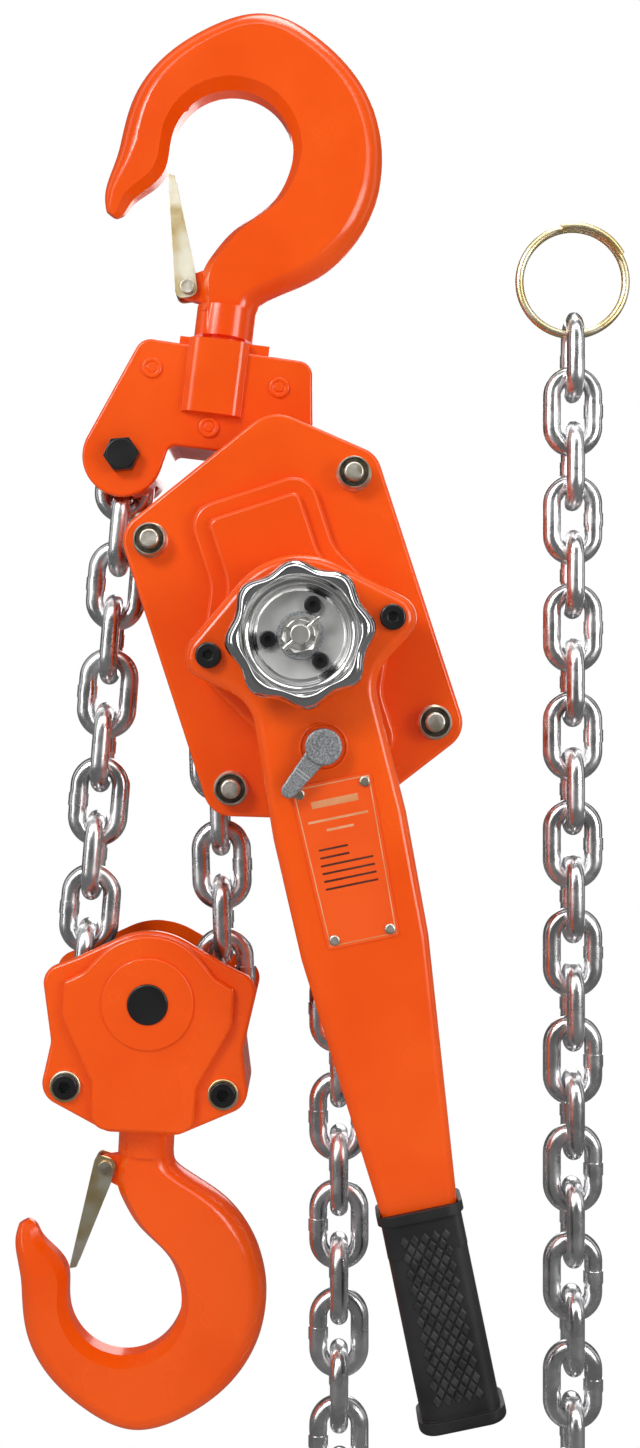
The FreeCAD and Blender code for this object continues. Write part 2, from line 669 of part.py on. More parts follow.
def stay_bolts():
    """Shouldered bolts that hold the two frame plates and both covers together."""
    bolts = []
    front_end = COVER_FACE + NUT_WASHER + NUT_HEIGHT + 2.5
    rear_end = CASE_STEP + NUT_WASHER + NUT_HEIGHT + 2.5
    for u, w in STAY_SPOTS:
        stem = softened(round_bar(u, w, STAY_RADIUS, -front_end, rear_end), -front_end, 1.0)
        front_collar = round_bar(u, w, STAY_RADIUS + 2, -COVER_FACE + COVER_SHEET, -FRAME_OUTER)
        rear_collar = round_bar(u, w, STAY_RADIUS + 2, FRAME_OUTER, CASE_STEP - CASE_SHEET)
        shoulder = round_bar(u, w, STAY_RADIUS + 1.5, -FRAME_INNER, FRAME_INNER)
        if (u, w) == CHAIN_SIDE_STAY:
            stud = merged(stem, [front_collar, rear_collar])
            bolts.extend(without(stud, [round_bar(u, w, 9, -FRAME_INNER, FRAME_INNER)]).Solids)
        else:
            bolts.append(merged(stem, [shoulder, front_collar, rear_collar]))
    return Part.makeCompound(bolts)


def nut_on(u, w, across, y0, y1, bore, turn):
    """Hexagon nut with its corners turned down and a washer face at its seat, y0."""
    away = 1 if y1 > y0 else -1
    seat = y0 + away * NUT_WASHER
    body = six_sided(u, w, across, seat, y1, turn)
    cone = Part.makeCone(across / 2 + 3.0, across / 2 - 0.4, abs(y1 - seat), flat(u, w, seat),
                         Vector(0, away, 0))
    nut = body.common(cone)
    washer = round_bar(u, w, across / 2 + 1.6, y0, seat)
    return without(merged(nut, [washer]), [round_bar(u, w, bore, y0 - 2, y0 + 20),
                                           round_bar(u, w, bore, y0 - 20, y0 + 2)])


def stay_nuts(side, face):
    nuts = []
    for index, (u, w) in enumerate(STAY_SPOTS):
        nuts.append(nut_on(u, w, NUT_ACROSS, side * face, side * (face + NUT_WASHER + NUT_HEIGHT),
                           STAY_RADIUS + SEAT, 17 * index))
    return Part.makeCompound(nuts)


def yoke_pin():
    """Pin that hangs the body from the yoke, held by the frame plates and a head at each end."""
    u, w = PIN_AT
    stem = round_bar(u, w, PIN_RADIUS, -FRAME_OUTER - SIDE_PLAY, FRAME_OUTER + SIDE_PLAY)
    heads = [round_bar(u, w, PIN_HEAD_RADIUS, side * (FRAME_OUTER + SIDE_PLAY),
                       side * (FRAME_OUTER + SIDE_PLAY + PIN_HEAD_HEIGHT)) for side in (FRONT, REAR)]
    return merged(stem, heads)


def build_body():
    export(placed(frame_plate(FRONT), MAIN_AXIS, BODY_TILT), "front_frame_plate")
    export(placed(frame_plate(REAR), MAIN_AXIS, BODY_TILT), "rear_frame_plate")
    export(placed(brake_cover(), MAIN_AXIS, BODY_TILT), "brake_cover")
    export(placed(gear_case(), MAIN_AXIS, BODY_TILT), "gear_case")
    export(placed(stay_bolts(), MAIN_AXIS, BODY_TILT), "stay_bolts")
    export(placed(stay_nuts(FRONT, COVER_FACE), MAIN_AXIS, BODY_TILT), "stay_nuts_front")
    export(placed(stay_nuts(REAR, CASE_STEP), MAIN_AXIS, BODY_TILT), "stay_nuts_rear")
    export(placed(yoke_pin(), MAIN_AXIS, BODY_TILT), "yoke_pin")


LEVER_DISCS = (
    (0, 0, LEVER_HEAD_RADIUS),
    (-LEVER_EAR_AT, 0, LEVER_EAR_RADIUS),
    (-LEVER_NECK_HALF - 24, -38, -22),
    (-LEVER_WAIST_HALF + 12, LEVER_WAIST_AT, 12),
    (-LEVER_HIP_HALF + 20, LEVER_HIP_AT, 20),
    (-LEVER_WRIST_HALF + 8, LEVER_WRIST_AT - 12, 8),
    (LEVER_WRIST_HALF - 8, LEVER_WRIST_AT - 12, 8),
    (LEVER_HIP_HALF - 20, LEVER_HIP_AT, 20),
    (LEVER_WAIST_HALF - 12, LEVER_WAIST_AT, 12),
    (LEVER_NECK_HALF + 24, -38, -22),
    (LEVER_EAR_AT, 0, LEVER_EAR_RADIUS),
)
LEVER_HOLE = 15.0
TONGUE_HALF_WIDTH = 12.0
TONGUE_HALF_DEPTH = 6.0
LEVER_MIDDLE = (LEVER_BACK + LEVER_FACE) / 2
LEVER_SCREW_RADIUS = 3.0
LEVER_SCREW_HEAD = 6.6
PLATE_RIVET_RADIUS = 1.5
SELECTOR_STEM = 4.0


def lever_screw_spots():
    return [(-LEVER_EAR_AT, 0), (LEVER_EAR_AT, 0)]


def nameplate_rivet_spots():
    inset = PLATE_RIVET_INSET
    return [(across * (half - inset), height) for across in (-1, 1)
            for half, height in ((PLATE_TOP_HALF, PLATE_TOP - inset),
                                 (PLATE_BOTTOM_HALF, PLATE_BOTTOM + inset))]


def lever_shell(split, face, edge):
    """One pressed half of the lever: a rim at the split and a rounded face."""
    away = 1 if face > split else -1
    outside = softened(plate(LEVER_DISCS, split, face), face, edge)
    hollow = plate(pulled_in(LEVER_DISCS, LEVER_SHEET), split - away, face - away * LEVER_SHEET)
    posts = [round_bar(u, w, LEVER_SCREW_RADIUS + 3, split, face - away) for u, w in lever_screw_spots()]
    shell = merged(without(outside, [hollow]), posts)
    cuts = [round_bar(0, 0, LEVER_HOLE, split - away, face + away)]
    for u, w in lever_screw_spots():
        cuts.append(round_bar(u, w, LEVER_SCREW_RADIUS + SEAT, split - away, face + away))
    return without(shell, cuts)


def lever_front():
    shell = lever_shell(-LEVER_SPLIT - SEAT, -LEVER_FACE, LEVER_EDGE)
    boss_face = -LEVER_FACE - SELECTOR_BOSS
    boss = softened(round_bar(SELECTOR_AT[0], SELECTOR_AT[1], SELECTOR_DISC_RADIUS - 1, -LEVER_FACE + 1,
                              boss_face), boss_face, 0.8)
    shell = merged(shell, [boss])
    tongue_room = block_of(-TONGUE_HALF_WIDTH - SEAT, TONGUE_HALF_WIDTH + SEAT,
                           -LEVER_MIDDLE - TONGUE_HALF_DEPTH + 4.5 - SEAT, -LEVER_SPLIT + 1, LEVER_TAIL_AT,
                           LEVER_WRIST_AT + 5)
    cuts = [tongue_room, round_bar(SELECTOR_AT[0], SELECTOR_AT[1], SELECTOR_STEM + RUN_FIT, -70, -90)]
    for u, w in nameplate_rivet_spots():
        cuts.append(round_bar(u, w, PLATE_RIVET_RADIUS + SEAT, -70, -90))
    return without(shell, cuts)


def lever_rear():
    shell = lever_shell(-LEVER_SPLIT, -LEVER_BACK, 4.0)
    tongue = block_of(-TONGUE_HALF_WIDTH, TONGUE_HALF_WIDTH, -LEVER_MIDDLE - TONGUE_HALF_DEPTH + 4.5,
                      -LEVER_MIDDLE + TONGUE_HALF_DEPTH, LEVER_TAIL_AT, LEVER_WRIST_AT - 15)
    return merged(shell, [tongue])


def lever_screws():
    screws = []
    for u, w in lever_screw_spots():
        stem = round_bar(u, w, LEVER_SCREW_RADIUS, -LEVER_FACE - 1, -LEVER_BACK + 1)
        head = softened(round_bar(u, w, LEVER_SCREW_HEAD, -LEVER_FACE, -LEVER_FACE - 4.5), -LEVER_FACE - 4.5, 1.2)
        socket = six_sided(u, w, 5.0, -LEVER_FACE - 2, -LEVER_FACE - 6, 10)
        end = six_sided(u, w, 10.0, -LEVER_BACK + 1.8, -LEVER_BACK, 5)
        screws.append(without(merged(stem, [head, end]), [socket]))
    return Part.makeCompound(screws)


def grip():
    """Rubber sleeve with a collar at its mouth and a flange at its end."""
    half, deep = GRIP_HALF_WIDTH, GRIP_HALF_DEPTH
    middle = -LEVER_MIDDLE

    def sleeve_slice(extra, w0, w1, corner):
        wide, thick = half + extra, deep + extra
        bar = Part.makeBox(2 * wide, 2 * thick, w1 - w0, flat(-wide, w0, middle - thick))
        uprights = [edge for edge in bar.Edges if edge.BoundBox.ZLength > (w1 - w0) * 0.9]
        return bar.makeFillet(corner, uprights)

    sleeve = sleeve_slice(0, GRIP_END, GRIP_TOP, 8.0)
    collar = sleeve_slice(GRIP_COLLAR, GRIP_TOP - 5, GRIP_TOP, 9.5)
    flange = sleeve_slice(GRIP_FLANGE, GRIP_END, GRIP_END + 7, 9.8)
    ends = [edge for edge in flange.Edges if edge.BoundBox.ZMax < GRIP_END + 0.01]
    flange = flange.makeFillet(3.0, ends)
    rings = [collar, flange]
    ends = [edge for edge in sleeve.Edges if edge.BoundBox.ZMax < GRIP_END + 0.01]
    shape = merged(sleeve.makeFillet(3.0, ends), rings)
    pocket = block_of(-TONGUE_HALF_WIDTH - SEAT, TONGUE_HALF_WIDTH + SEAT,
                      middle - TONGUE_HALF_DEPTH + 4.5 - SEAT, middle + TONGUE_HALF_DEPTH + SEAT,
                      LEVER_TAIL_AT - SEAT, GRIP_TOP + 5)
    mouth = plate(pulled_in(LEVER_DISCS, -0.3), -LEVER_FACE - 0.3, -LEVER_BACK + 0.3)
    return without(shape, [pocket, mouth])


def nameplate():
    face = -LEVER_FACE
    sheet = slab([(-PLATE_TOP_HALF, PLATE_TOP, 2), (PLATE_TOP_HALF, PLATE_TOP, 2),
                  (PLATE_BOTTOM_HALF, PLATE_BOTTOM, 2), (-PLATE_BOTTOM_HALF, PLATE_BOTTOM, 2)],
                 face, face - PLATE_SHEET)
    cuts = [round_bar(u, w, PLATE_RIVET_RADIUS + SEAT, face + 1, face - 3) for u, w in nameplate_rivet_spots()]
    return without(sheet, cuts)


def nameplate_rivets():
    rivets = []
    face = -LEVER_FACE - PLATE_SHEET
    for u, w in nameplate_rivet_spots():
        head = softened(round_bar(u, w, 2.8, face, face - 1.4), face - 1.4, 1.0)
        rivets.append(merged(round_bar(u, w, PLATE_RIVET_RADIUS, face, face + 3.6), [head]))
    return Part.makeCompound(rivets)


def selector_knob():
    """Selector on the lever's face, with its stem and the two-horned pawl's square behind."""
    u, w = SELECTOR_AT
    face = -LEVER_FACE - SELECTOR_BOSS - SIDE_PLAY
    top = face - SELECTOR_HEIGHT
    disc = round_bar(u, w, SELECTOR_DISC_RADIUS, face, top)
    angle = math.radians(SELECTOR_REST)
    far = (SELECTOR_LENGTH - SELECTOR_WIDTH / 2)
    arm = plate([(u, w, SELECTOR_WIDTH / 2 + 2.0),
                 (u + far * math.cos(angle), w + far * math.sin(angle), SELECTOR_WIDTH / 2)], face, top + 1.5)
    shape = merged(softened(disc, top, 1.2), [softened(arm, top + 1.5, 1.0)])
    stem = round_bar(u, w, SELECTOR_STEM, face - 0.5, -LEVER_BACK - LEVER_SHEET - SIDE_PLAY)
    return merged(shape, [stem])


def selector_pawl():
    """Two-horned pawl on the selector's stem. Each horn comes to the change gear in turn."""
    u, w = SELECTOR_AT
    reach = -SELECTOR_AT[1] - CHANGE_GEAR_TIP - 1.4
    horns = []
    for lean in (-SELECTOR_SWING, SELECTOR_SWING):
        angle = math.radians(90 + lean)
        horns.append(plate([(u, w, 7.5), (u + (reach - 2) * math.cos(angle), w + (reach - 2) * math.sin(angle), 2)],
                           -LEVER_SPLIT + 3, -LEVER_SPLIT - 6))
    body = merged(horns[0], horns[1:])
    return without(body, [round_bar(u, w, SELECTOR_STEM + SEAT, -50, -90)])


def toothed(teeth, module, y0, y1, phase, bore, root_share=0.9, tip_share=0.7):
    """Spur gear with stub teeth. The phase is the angle of its first tooth."""
    pitch_radius = teeth * module / 2
    root = pitch_radius - root_share * module
    tip = pitch_radius + tip_share * module
    step = 2 * math.pi / teeth
    low = min(y0, y1)
    points = []
    for index in range(teeth):
        middle = math.radians(phase) + index * step
        for radius, share in ((root, -0.2), (tip, -0.06), (tip, 0.06), (root, 0.2)):
            angle = middle + share * step
            points.append(flat(radius * math.cos(angle), radius * math.sin(angle), low))
    points.append(points[0])
    gear = Part.Face(Part.makePolygon(points)).extrude(Vector(0, abs(y1 - y0), 0))
    return without(gear, [round_bar(0, 0, bore, low - 1, low + abs(y1 - y0) + 1)])


def shifted(shape, u, w):
    moved = shape.copy()
    moved.translate(Vector(u, 0, w))
    return moved


def pinion_shaft():
    """Drive shaft: pinion at the gear case's end, thread and split pin hole at the hand wheel's."""
    rear_end = CASE_FACE + 2
    front = -WHEEL_FACE + WHEEL_DISH_DEPTH
    shaft = round_bar(0, 0, SHAFT_RADIUS, front, rear_end)
    tip = softened(round_bar(0, 0, SHAFT_TIP_RADIUS, front + 1, front - 11), front - 11, 0.8)
    pinion = toothed(PINION_TEETH, FINE_MODULE, PINION_Y, PINION_Y + 7, 90, 1.0)
    pinion = merged(pinion, [round_bar(0, 0, 2, PINION_Y, PINION_Y + 7)])
    shape = merged(shaft, [tip])
    neck = without(round_bar(0, 0, SHAFT_RADIUS + 2, PINION_Y, PINION_Y + 7),
                   [round_bar(0, 0, SHAFT_NECK, PINION_Y - 1, PINION_Y + 8)])
    shape = merged(without(shape, [neck]), [pinion])
    return without(shape, [cotter_bar(COTTER_RADIUS + SEAT)])


def cotter_bar(radius):
    angle = math.radians(COTTER_ANGLE)
    along = Vector(math.cos(angle), 0, math.sin(angle))
    start = flat(0, 0, COTTER_Y) - along * COTTER_LENGTH / 2
    return Part.makeCylinder(radius, COTTER_LENGTH, start, along)


def cotter_pin():
    """Split pin with a looped head and its two ends spread round the nut."""
    angle = math.radians(COTTER_ANGLE)
    along = Vector(math.cos(angle), 0, math.sin(angle))
    head = flat(0, 0, COTTER_Y) + along * (COTTER_LENGTH / 2 + 0.6)
    loop = Part.makeTorus(1.7, 0.75, head, Vector(-math.sin(angle), 0, math.cos(angle)))
    return merged(cotter_bar(COTTER_RADIUS), [loop])


def castle_nut():
    """Slotted nut on its washer. Two of its slots hold the split pin."""
    seat = -WHEEL_FACE + WHEEL_DISH_DEPTH
    washer = round_bar(0, 0, 11.6, seat, seat - 1.5)
    nut = nut_on(0, 0, 16.5, seat - 1.5, seat - 6.0, SHAFT_TIP_RADIUS + SEAT, 0)
    crown = softened(round_bar(0, 0, 7.6, seat - 5.5, seat - 10.0), seat - 10.0, 0.7)
    shape = merged(washer, [nut, crown])
    cuts = [round_bar(0, 0, SHAFT_TIP_RADIUS + SEAT, seat + 2, seat - 14)]
    for step in range(3):
        slot = block_of(-14, 14, seat - 6.3, seat - 12, -COTTER_RADIUS - 0.25, COTTER_RADIUS + 0.25)
        slot.rotate(Vector(0, 0, 0), Vector(0, 1, 0), -COTTER_ANGLE - 60 * step)
        cuts.append(slot)
    return without(shape, cuts)


def hand_wheel():
    """Scalloped wheel with a dished face and a flat floor for its three screws."""
    discs = []
    step = 180.0 / WHEEL_LOBES
    lobe, hollow = WHEEL_RADIUS * 0.3, WHEEL_RADIUS * 0.25
    for index in range(2 * WHEEL_LOBES):
        angle = math.radians(WHEEL_PHASE + step * index)
        crest = index % 2 == 0
        reach = WHEEL_RADIUS + WHEEL_SCALLOP - lobe if crest else WHEEL_RADIUS - WHEEL_SCALLOP + hollow
        discs.append((reach * math.cos(angle), reach * math.sin(angle), lobe if crest else -hollow))
    front, back = -WHEEL_FACE, -WHEEL_BACK - 4
    rim = softened(softened(plate(discs, back, front), front, 5.5), back, 4.0)
    hub = round_bar(0, 0, 24, back - 1, -WHEEL_BACK)
    dish = Part.makeCone(WHEEL_FLOOR_RADIUS + 3, WHEEL_DISH_RADIUS + 1, WHEEL_DISH_DEPTH - 1,
                         flat(0, 0, front + WHEEL_DISH_DEPTH - 1), Vector(0, -1, 0))
    floor = round_bar(0, 0, WHEEL_FLOOR_RADIUS, front + WHEEL_DISH_DEPTH, front)
    shape = without(merged(rim, [hub]), [dish, floor])
    cuts = [round_bar(0, 0, WHEEL_HUB_BORE + SEAT, -60, -110)]
    for u, w in wheel_screw_spots():
        cuts.append(round_bar(u, w, 2.5 + SEAT, -60, -110))
    return without(shape, cuts)


def wheel_screw_spots():
    spots = []
    for step in range(3):
        angle = math.radians(WHEEL_SCREW_PHASE + 120 * step)
        spots.append((WHEEL_SCREW_CIRCLE * math.cos(angle), WHEEL_SCREW_CIRCLE * math.sin(angle)))
    return spots


def hand_wheel_screws():
    screws = []
    floor = -WHEEL_FACE + WHEEL_DISH_DEPTH
    for u, w in wheel_screw_spots():
        head = softened(round_bar(u, w, 4.4, floor, floor - 3.6), floor - 3.6, 0.9)
        socket = six_sided(u, w, 3.4, floor - 1.6, floor - 5, 20)
        stem = round_bar(u, w, 2.5, floor - 0.5, -WHEEL_BACK - 0.5)
        screws.append(without(merged(stem, [head]), [socket]))
    return Part.makeCompound(screws)


def build_lever():
    pieces = (("lever_front_shell", lever_front()), ("lever_rear_shell", lever_rear()),
              ("lever_screws", lever_screws()), ("lever_grip", grip()), ("nameplate", nameplate()),
              ("nameplate_rivets", nameplate_rivets()), ("selector_knob", selector_knob()),
              ("selector_pawl", selector_pawl()), ("pinion_shaft", pinion_shaft()),
              ("hand_wheel", hand_wheel()), ("hand_wheel_screws", hand_wheel_screws()),
              ("castle_nut", castle_nut()), ("cotter_pin", cotter_pin()))
    for name, shape in pieces:
        export(placed(shape, MAIN_AXIS, LEVER_TILT), name)


def bearing(side):
    ring = round_bar(0, 0, BEARING_RADIUS, side * FRAME_INNER, side * FRAME_OUTER)
    return without(ring, [round_bar(0, 0, SHEAVE_HUB_RADIUS + RUN_FIT, side * 20, side * 40)])


def friction_hub():
    """Hub on the drive shaft that the brake is squeezed against."""
    flange = round_bar(0, 0, FRICTION_RADIUS, HUB_Y, HUB_Y - 3.5)
    sleeve = round_bar(0, 0, FRICTION_BORE - 1, HUB_Y - 3, CHANGE_Y + 0.5)
    return without(merged(flange, [sleeve]), [round_bar(0, 0, SHAFT_RADIUS + SEAT, -20, -60)])


def friction_discs():
    discs = []
    for start in (HUB_Y - 3.5 - SEAT, CHANGE_Y + 2.0 + SEAT):
        ring = round_bar(0, 0, FRICTION_RADIUS, start, start - 2.0 + 2 * SEAT)
        discs.append(without(ring, [round_bar(0, 0, FRICTION_BORE, -20, -60)]))
    return Part.makeCompound(discs)


def brake_ratchet():
    """Ratchet wheel with saw teeth, between the two friction discs."""
    step = 2 * math.pi / RATCHET_TEETH
    front = CHANGE_Y + 2.0 + 2 * SEAT
    points = []
    for index in range(RATCHET_TEETH):
        angle = index * step
        for radius, share in ((RATCHET_RADIUS, 0.0), (RATCHET_RADIUS - 3.5, 0.12)):
            turn = angle + share * step
            points.append(flat(radius * math.cos(turn), radius * math.sin(turn), front))
    points.append(points[0])
    depth = (HUB_Y - 3.5 - 2.0 - 2 * SEAT) - front
    wheel = Part.Face(Part.makePolygon(points)).extrude(Vector(0, depth, 0))
    return without(wheel, [round_bar(0, 0, FRICTION_BORE, -20, -60)])


def brake_pawl(index):
    """Pawl on its pin, with its nose just clear of the ratchet's teeth."""
    u, w = PAWL_SPOTS[index]
    away = math.hypot(u, w)
    lean = math.atan2(w, u) + math.radians(34)
    nose = RATCHET_RADIUS + 2.4
    shape = plate([(u, w, 5.2), (nose * math.cos(lean), nose * math.sin(lean), 1.8)],
                  HUB_Y - 6.2, HUB_Y - 10.2)
    return without(shape, [round_bar(u, w, PAWL_PIN_RADIUS + RUN_FIT, -20, -60)]), away


def pawl_pins():
    pins = []
    for u, w in PAWL_SPOTS:
        stem = round_bar(u, w, PAWL_PIN_RADIUS, -FRAME_INNER, HUB_Y - 11)
        shoulder = round_bar(u, w, PAWL_PIN_RADIUS + 1.5, -FRAME_OUTER, HUB_Y - 5.9)
        pins.append(merged(stem, [shoulder]))
    return Part.makeCompound(pins)


def change_gear():
    """Threaded sleeve that squeezes the brake, with the gear that the lever drives."""
    flange = round_bar(0, 0, FRICTION_RADIUS, CHANGE_Y, CHANGE_Y - 3.5)
    sleeve = round_bar(0, 0, HUB_SLEEVE_RADIUS, CHANGE_Y - 3, -60)
    neck = round_bar(0, 0, HUB_SLEEVE_RADIUS - 1, -60, -WHEEL_BACK)
    gear = toothed(CHANGE_GEAR_TEETH, CHANGE_GEAR_MODULE, -60.5, -74, 5, 5.0, 0.9,
                   (CHANGE_GEAR_TIP - CHANGE_GEAR_TEETH) / CHANGE_GEAR_MODULE)
    shape = merged(flange, [sleeve, neck, gear])
    cuts = [round_bar(0, 0, SHAFT_RADIUS + SEAT, -30, -100)]
    return without(shape, cuts)


def disc_gear(index):
    """Large wheel driven by the shaft's pinion and the small pinion beside it that drives the load gear."""
    u, w = DISC_GEAR_SPOTS[index]
    sign = 1 if w > 0 else -1
    fine_step = 360.0 / DISC_GEAR_TEETH
    coarse_step = 360.0 / SMALL_PINION_TEETH
    large = toothed(DISC_GEAR_TEETH, FINE_MODULE, PINION_Y + 0.5, PINION_Y + 6.5,
                    -90 * sign + fine_step / 2, 3.0)
    small = toothed(SMALL_PINION_TEETH, COARSE_MODULE, LOAD_GEAR_Y, PINION_Y + 1,
                    -90 * sign + (coarse_step / 2 if sign > 0 else 0), 3.0)
    core = round_bar(0, 0, GEAR_PIN_RADIUS, FRAME_INNER, PINION_Y + 11)
    return shifted(merged(large, [small, core]), u, w)


def load_gear():
    gear = toothed(LOAD_GEAR_TEETH, COARSE_MODULE, LOAD_GEAR_Y, LOAD_GEAR_Y + 7, 90,
                   SHEAVE_HUB_RADIUS + SEAT)
    return gear


def sheave(pockets, hub_radius, bore, sleeve_from, sleeve_to):
    """Grooved chain sheave. Links stand in its groove and lie in its shallow pockets in turn."""
    circle = pin_circle(pockets)
    rim = math.sqrt(circle ** 2 - ((PITCH + WIRE) / 2) ** 2) - WIRE / 2 - POCKET_PLAY
    standing = math.sqrt(circle ** 2 - ((PITCH - WIRE) / 2) ** 2)
    root = standing - WIRE - LINK_INNER_WIDTH / 2 - POCKET_PLAY - 1
    core = round_bar(0, 0, root, -WIRE / 2 - 1.5, WIRE / 2 + 1.5)
    parts = []
    for side in (FRONT, REAR):
        cheek = round_bar(0, 0, rim, side * (WIRE / 2 + 1.2), side * SHEAVE_FLANGE_OUTER)
        recesses = []
        for index in range(pockets):
            box = block_of(-PITCH * 0.62, PITCH * 0.62, side * (WIRE / 2 + 1), side * SHEAVE_FLANGE_INNER,
                           rim - 1.4, rim + 5)
            box.rotate(Vector(0, 0, 0), Vector(0, 1, 0), index * 360.0 / pockets)
            recesses.append(box)
        flange = round_bar(0, 0, rim + 2.3, side * SHEAVE_FLANGE_INNER, side * SHEAVE_FLANGE_OUTER)
        parts.extend([without(cheek, recesses), flange])
    parts.append(round_bar(0, 0, hub_radius, sleeve_from, sleeve_to))
    return without(merged(core, parts), [round_bar(0, 0, bore, sleeve_from - 1, sleeve_to + 1)])


def load_sheave():
    return sheave(LOAD_POCKETS, SHEAVE_HUB_RADIUS, SHAFT_RADIUS + RUN_FIT, -FRAME_OUTER,
                  LOAD_GEAR_Y + 7.5)


def chain_stripper():
    """Tongue in the sheave's groove that lifts the slack chain out, on its own cross bar."""
    angle = math.radians(STRIPPER_ANGLE)
    bar_at = (STRIPPER_REACH * math.cos(angle), STRIPPER_REACH * math.sin(angle))
    inner = 33.5
    tongue = plate([(bar_at[0], bar_at[1], 7), (inner * math.cos(angle + 0.25), inner * math.sin(angle + 0.25), 2.5)],
                   -4.5, 4.5)
    bar = round_bar(bar_at[0], bar_at[1], 5, -FRAME_INNER, FRAME_INNER)
    return merged(tongue, [bar])


def chain_guide():
    """Cross bar that turns the slack chain down where it leaves the body."""
    return round_bar(GUIDE_AT[0], GUIDE_AT[1], 5, -FRAME_INNER, FRAME_INNER)


def build_drive():
    export(placed(Part.makeCompound([bearing(FRONT), bearing(REAR)]), MAIN_AXIS, BODY_TILT), "sheave_bearings")
    pieces = (("friction_hub", friction_hub()), ("friction_discs", friction_discs()),
              ("brake_ratchet", brake_ratchet()), ("pawl_left", brake_pawl(0)[0]),
              ("pawl_right", brake_pawl(1)[0]), ("pawl_pins", pawl_pins()), ("change_gear", change_gear()),
              ("disc_gear_upper", disc_gear(0)), ("disc_gear_lower", disc_gear(1)),
              ("load_gear", load_gear()), ("load_sheave", load_sheave()),
              ("chain_stripper", chain_stripper()), ("chain_guide", chain_guide()))
    for name, shape in pieces:
        export(placed(shape, MAIN_AXIS, BODY_TILT), name)


def chain_link():
    """One welded link, upright at the origin, with its flat side towards the hand wheel."""
    bend = (LINK_INNER_WIDTH + WIRE) / 2
    straight = PITCH + LINK_PLAY + WIRE - 2 * bend
    radius = WIRE / 2
    pieces = []
    for up in (1, -1):
        circle = Part.Face(Part.Wire([Part.makeCircle(radius, Vector(bend, 0, up * straight / 2), Vector(0, 0, 1))]))
        pieces.append(circle.revolve(Vector(0, 0, up * straight / 2), Vector(0, -up, 0), 180))
    for across in (-1, 1):
        pieces.append(upright_bar(across * bend, 0, radius, -straight / 2, straight / 2))
    weld = upright_bar(bend, 0, radius + WELD_SWELL, -WELD_LENGTH / 2, WELD_LENGTH / 2)
    return merged(pieces[0], pieces[1:] + [weld])


LINK = chain_link()


def link_reach(number):
    """Distance between a link's two pins. Odd links stand flat to the front between their
    neighbours' bars, and even links are edge on, pinned at their own bars."""
    return PITCH - WIRE if number % 2 else PITCH + WIRE


def run_of_links(pins, first_number):
    links = []
    for index in range(len(pins) - 1):
        x0, z0 = pins[index]
        x1, z1 = pins[index + 1]
        link = LINK.copy()
        if (first_number + index) % 2 == 0:
            link.rotate(Vector(0, 0, 0), Vector(0, 0, 1), 90)
        tilt = math.degrees(math.atan2(x1 - x0, z1 - z0))
        links.append(placed(link, ((x0 + x1) / 2, (z0 + z1) / 2), tilt))
    return links


def straight_pins(start, end, first_number, reaches):
    """Pins on a straight line from start to end, spaced as the links are."""
    whole = sum(reaches)
    pins = [start]
    run = 0.0
    for reach in reaches:
        run += reach / whole
        pins.append((start[0] + (end[0] - start[0]) * run, start[1] + (end[1] - start[1]) * run))
    return pins


def pin_circle(pockets):
    """Radius of the circle through the pins of a chain that lies on a sheave."""
    low, high = PITCH, PITCH * pockets
    for _ in range(60):
        radius = (low + high) / 2
        turn = math.asin((PITCH + WIRE) / 2 / radius) + math.asin((PITCH - WIRE) / 2 / radius)
        if turn > math.pi / pockets:
            low = radius
        else:
            high = radius
    return radius


def chain_room(pockets):
    """Radius that a chain on a sheave sweeps."""
    standing = math.sqrt(pin_circle(pockets) ** 2 - ((PITCH - WIRE) / 2) ** 2)
    return standing + WIRE + LINK_INNER_WIDTH / 2


def wrapped_pins(centre, start, first_number, count, turn):
    """Pins round a sheave, one link apart. The turn is 1 or -1."""
    radius = math.hypot(start[0] - centre[0], start[1] - centre[1])
    angle = math.atan2(start[1] - centre[1], start[0] - centre[0])
    pins = [start]
    for index in range(count):
        angle += turn * 2 * math.asin(link_reach(first_number + index) / 2 / radius)
        pins.append((centre[0] + radius * math.cos(angle), centre[1] + radius * math.sin(angle)))
    return pins


def reaches_of(first_number, count):
    return [link_reach(first_number + index) for index in range(count)]


def headed(start, heading, reach):
    angle = math.radians(heading)
    return (start[0] + reach * math.cos(angle), start[1] + reach * math.sin(angle))


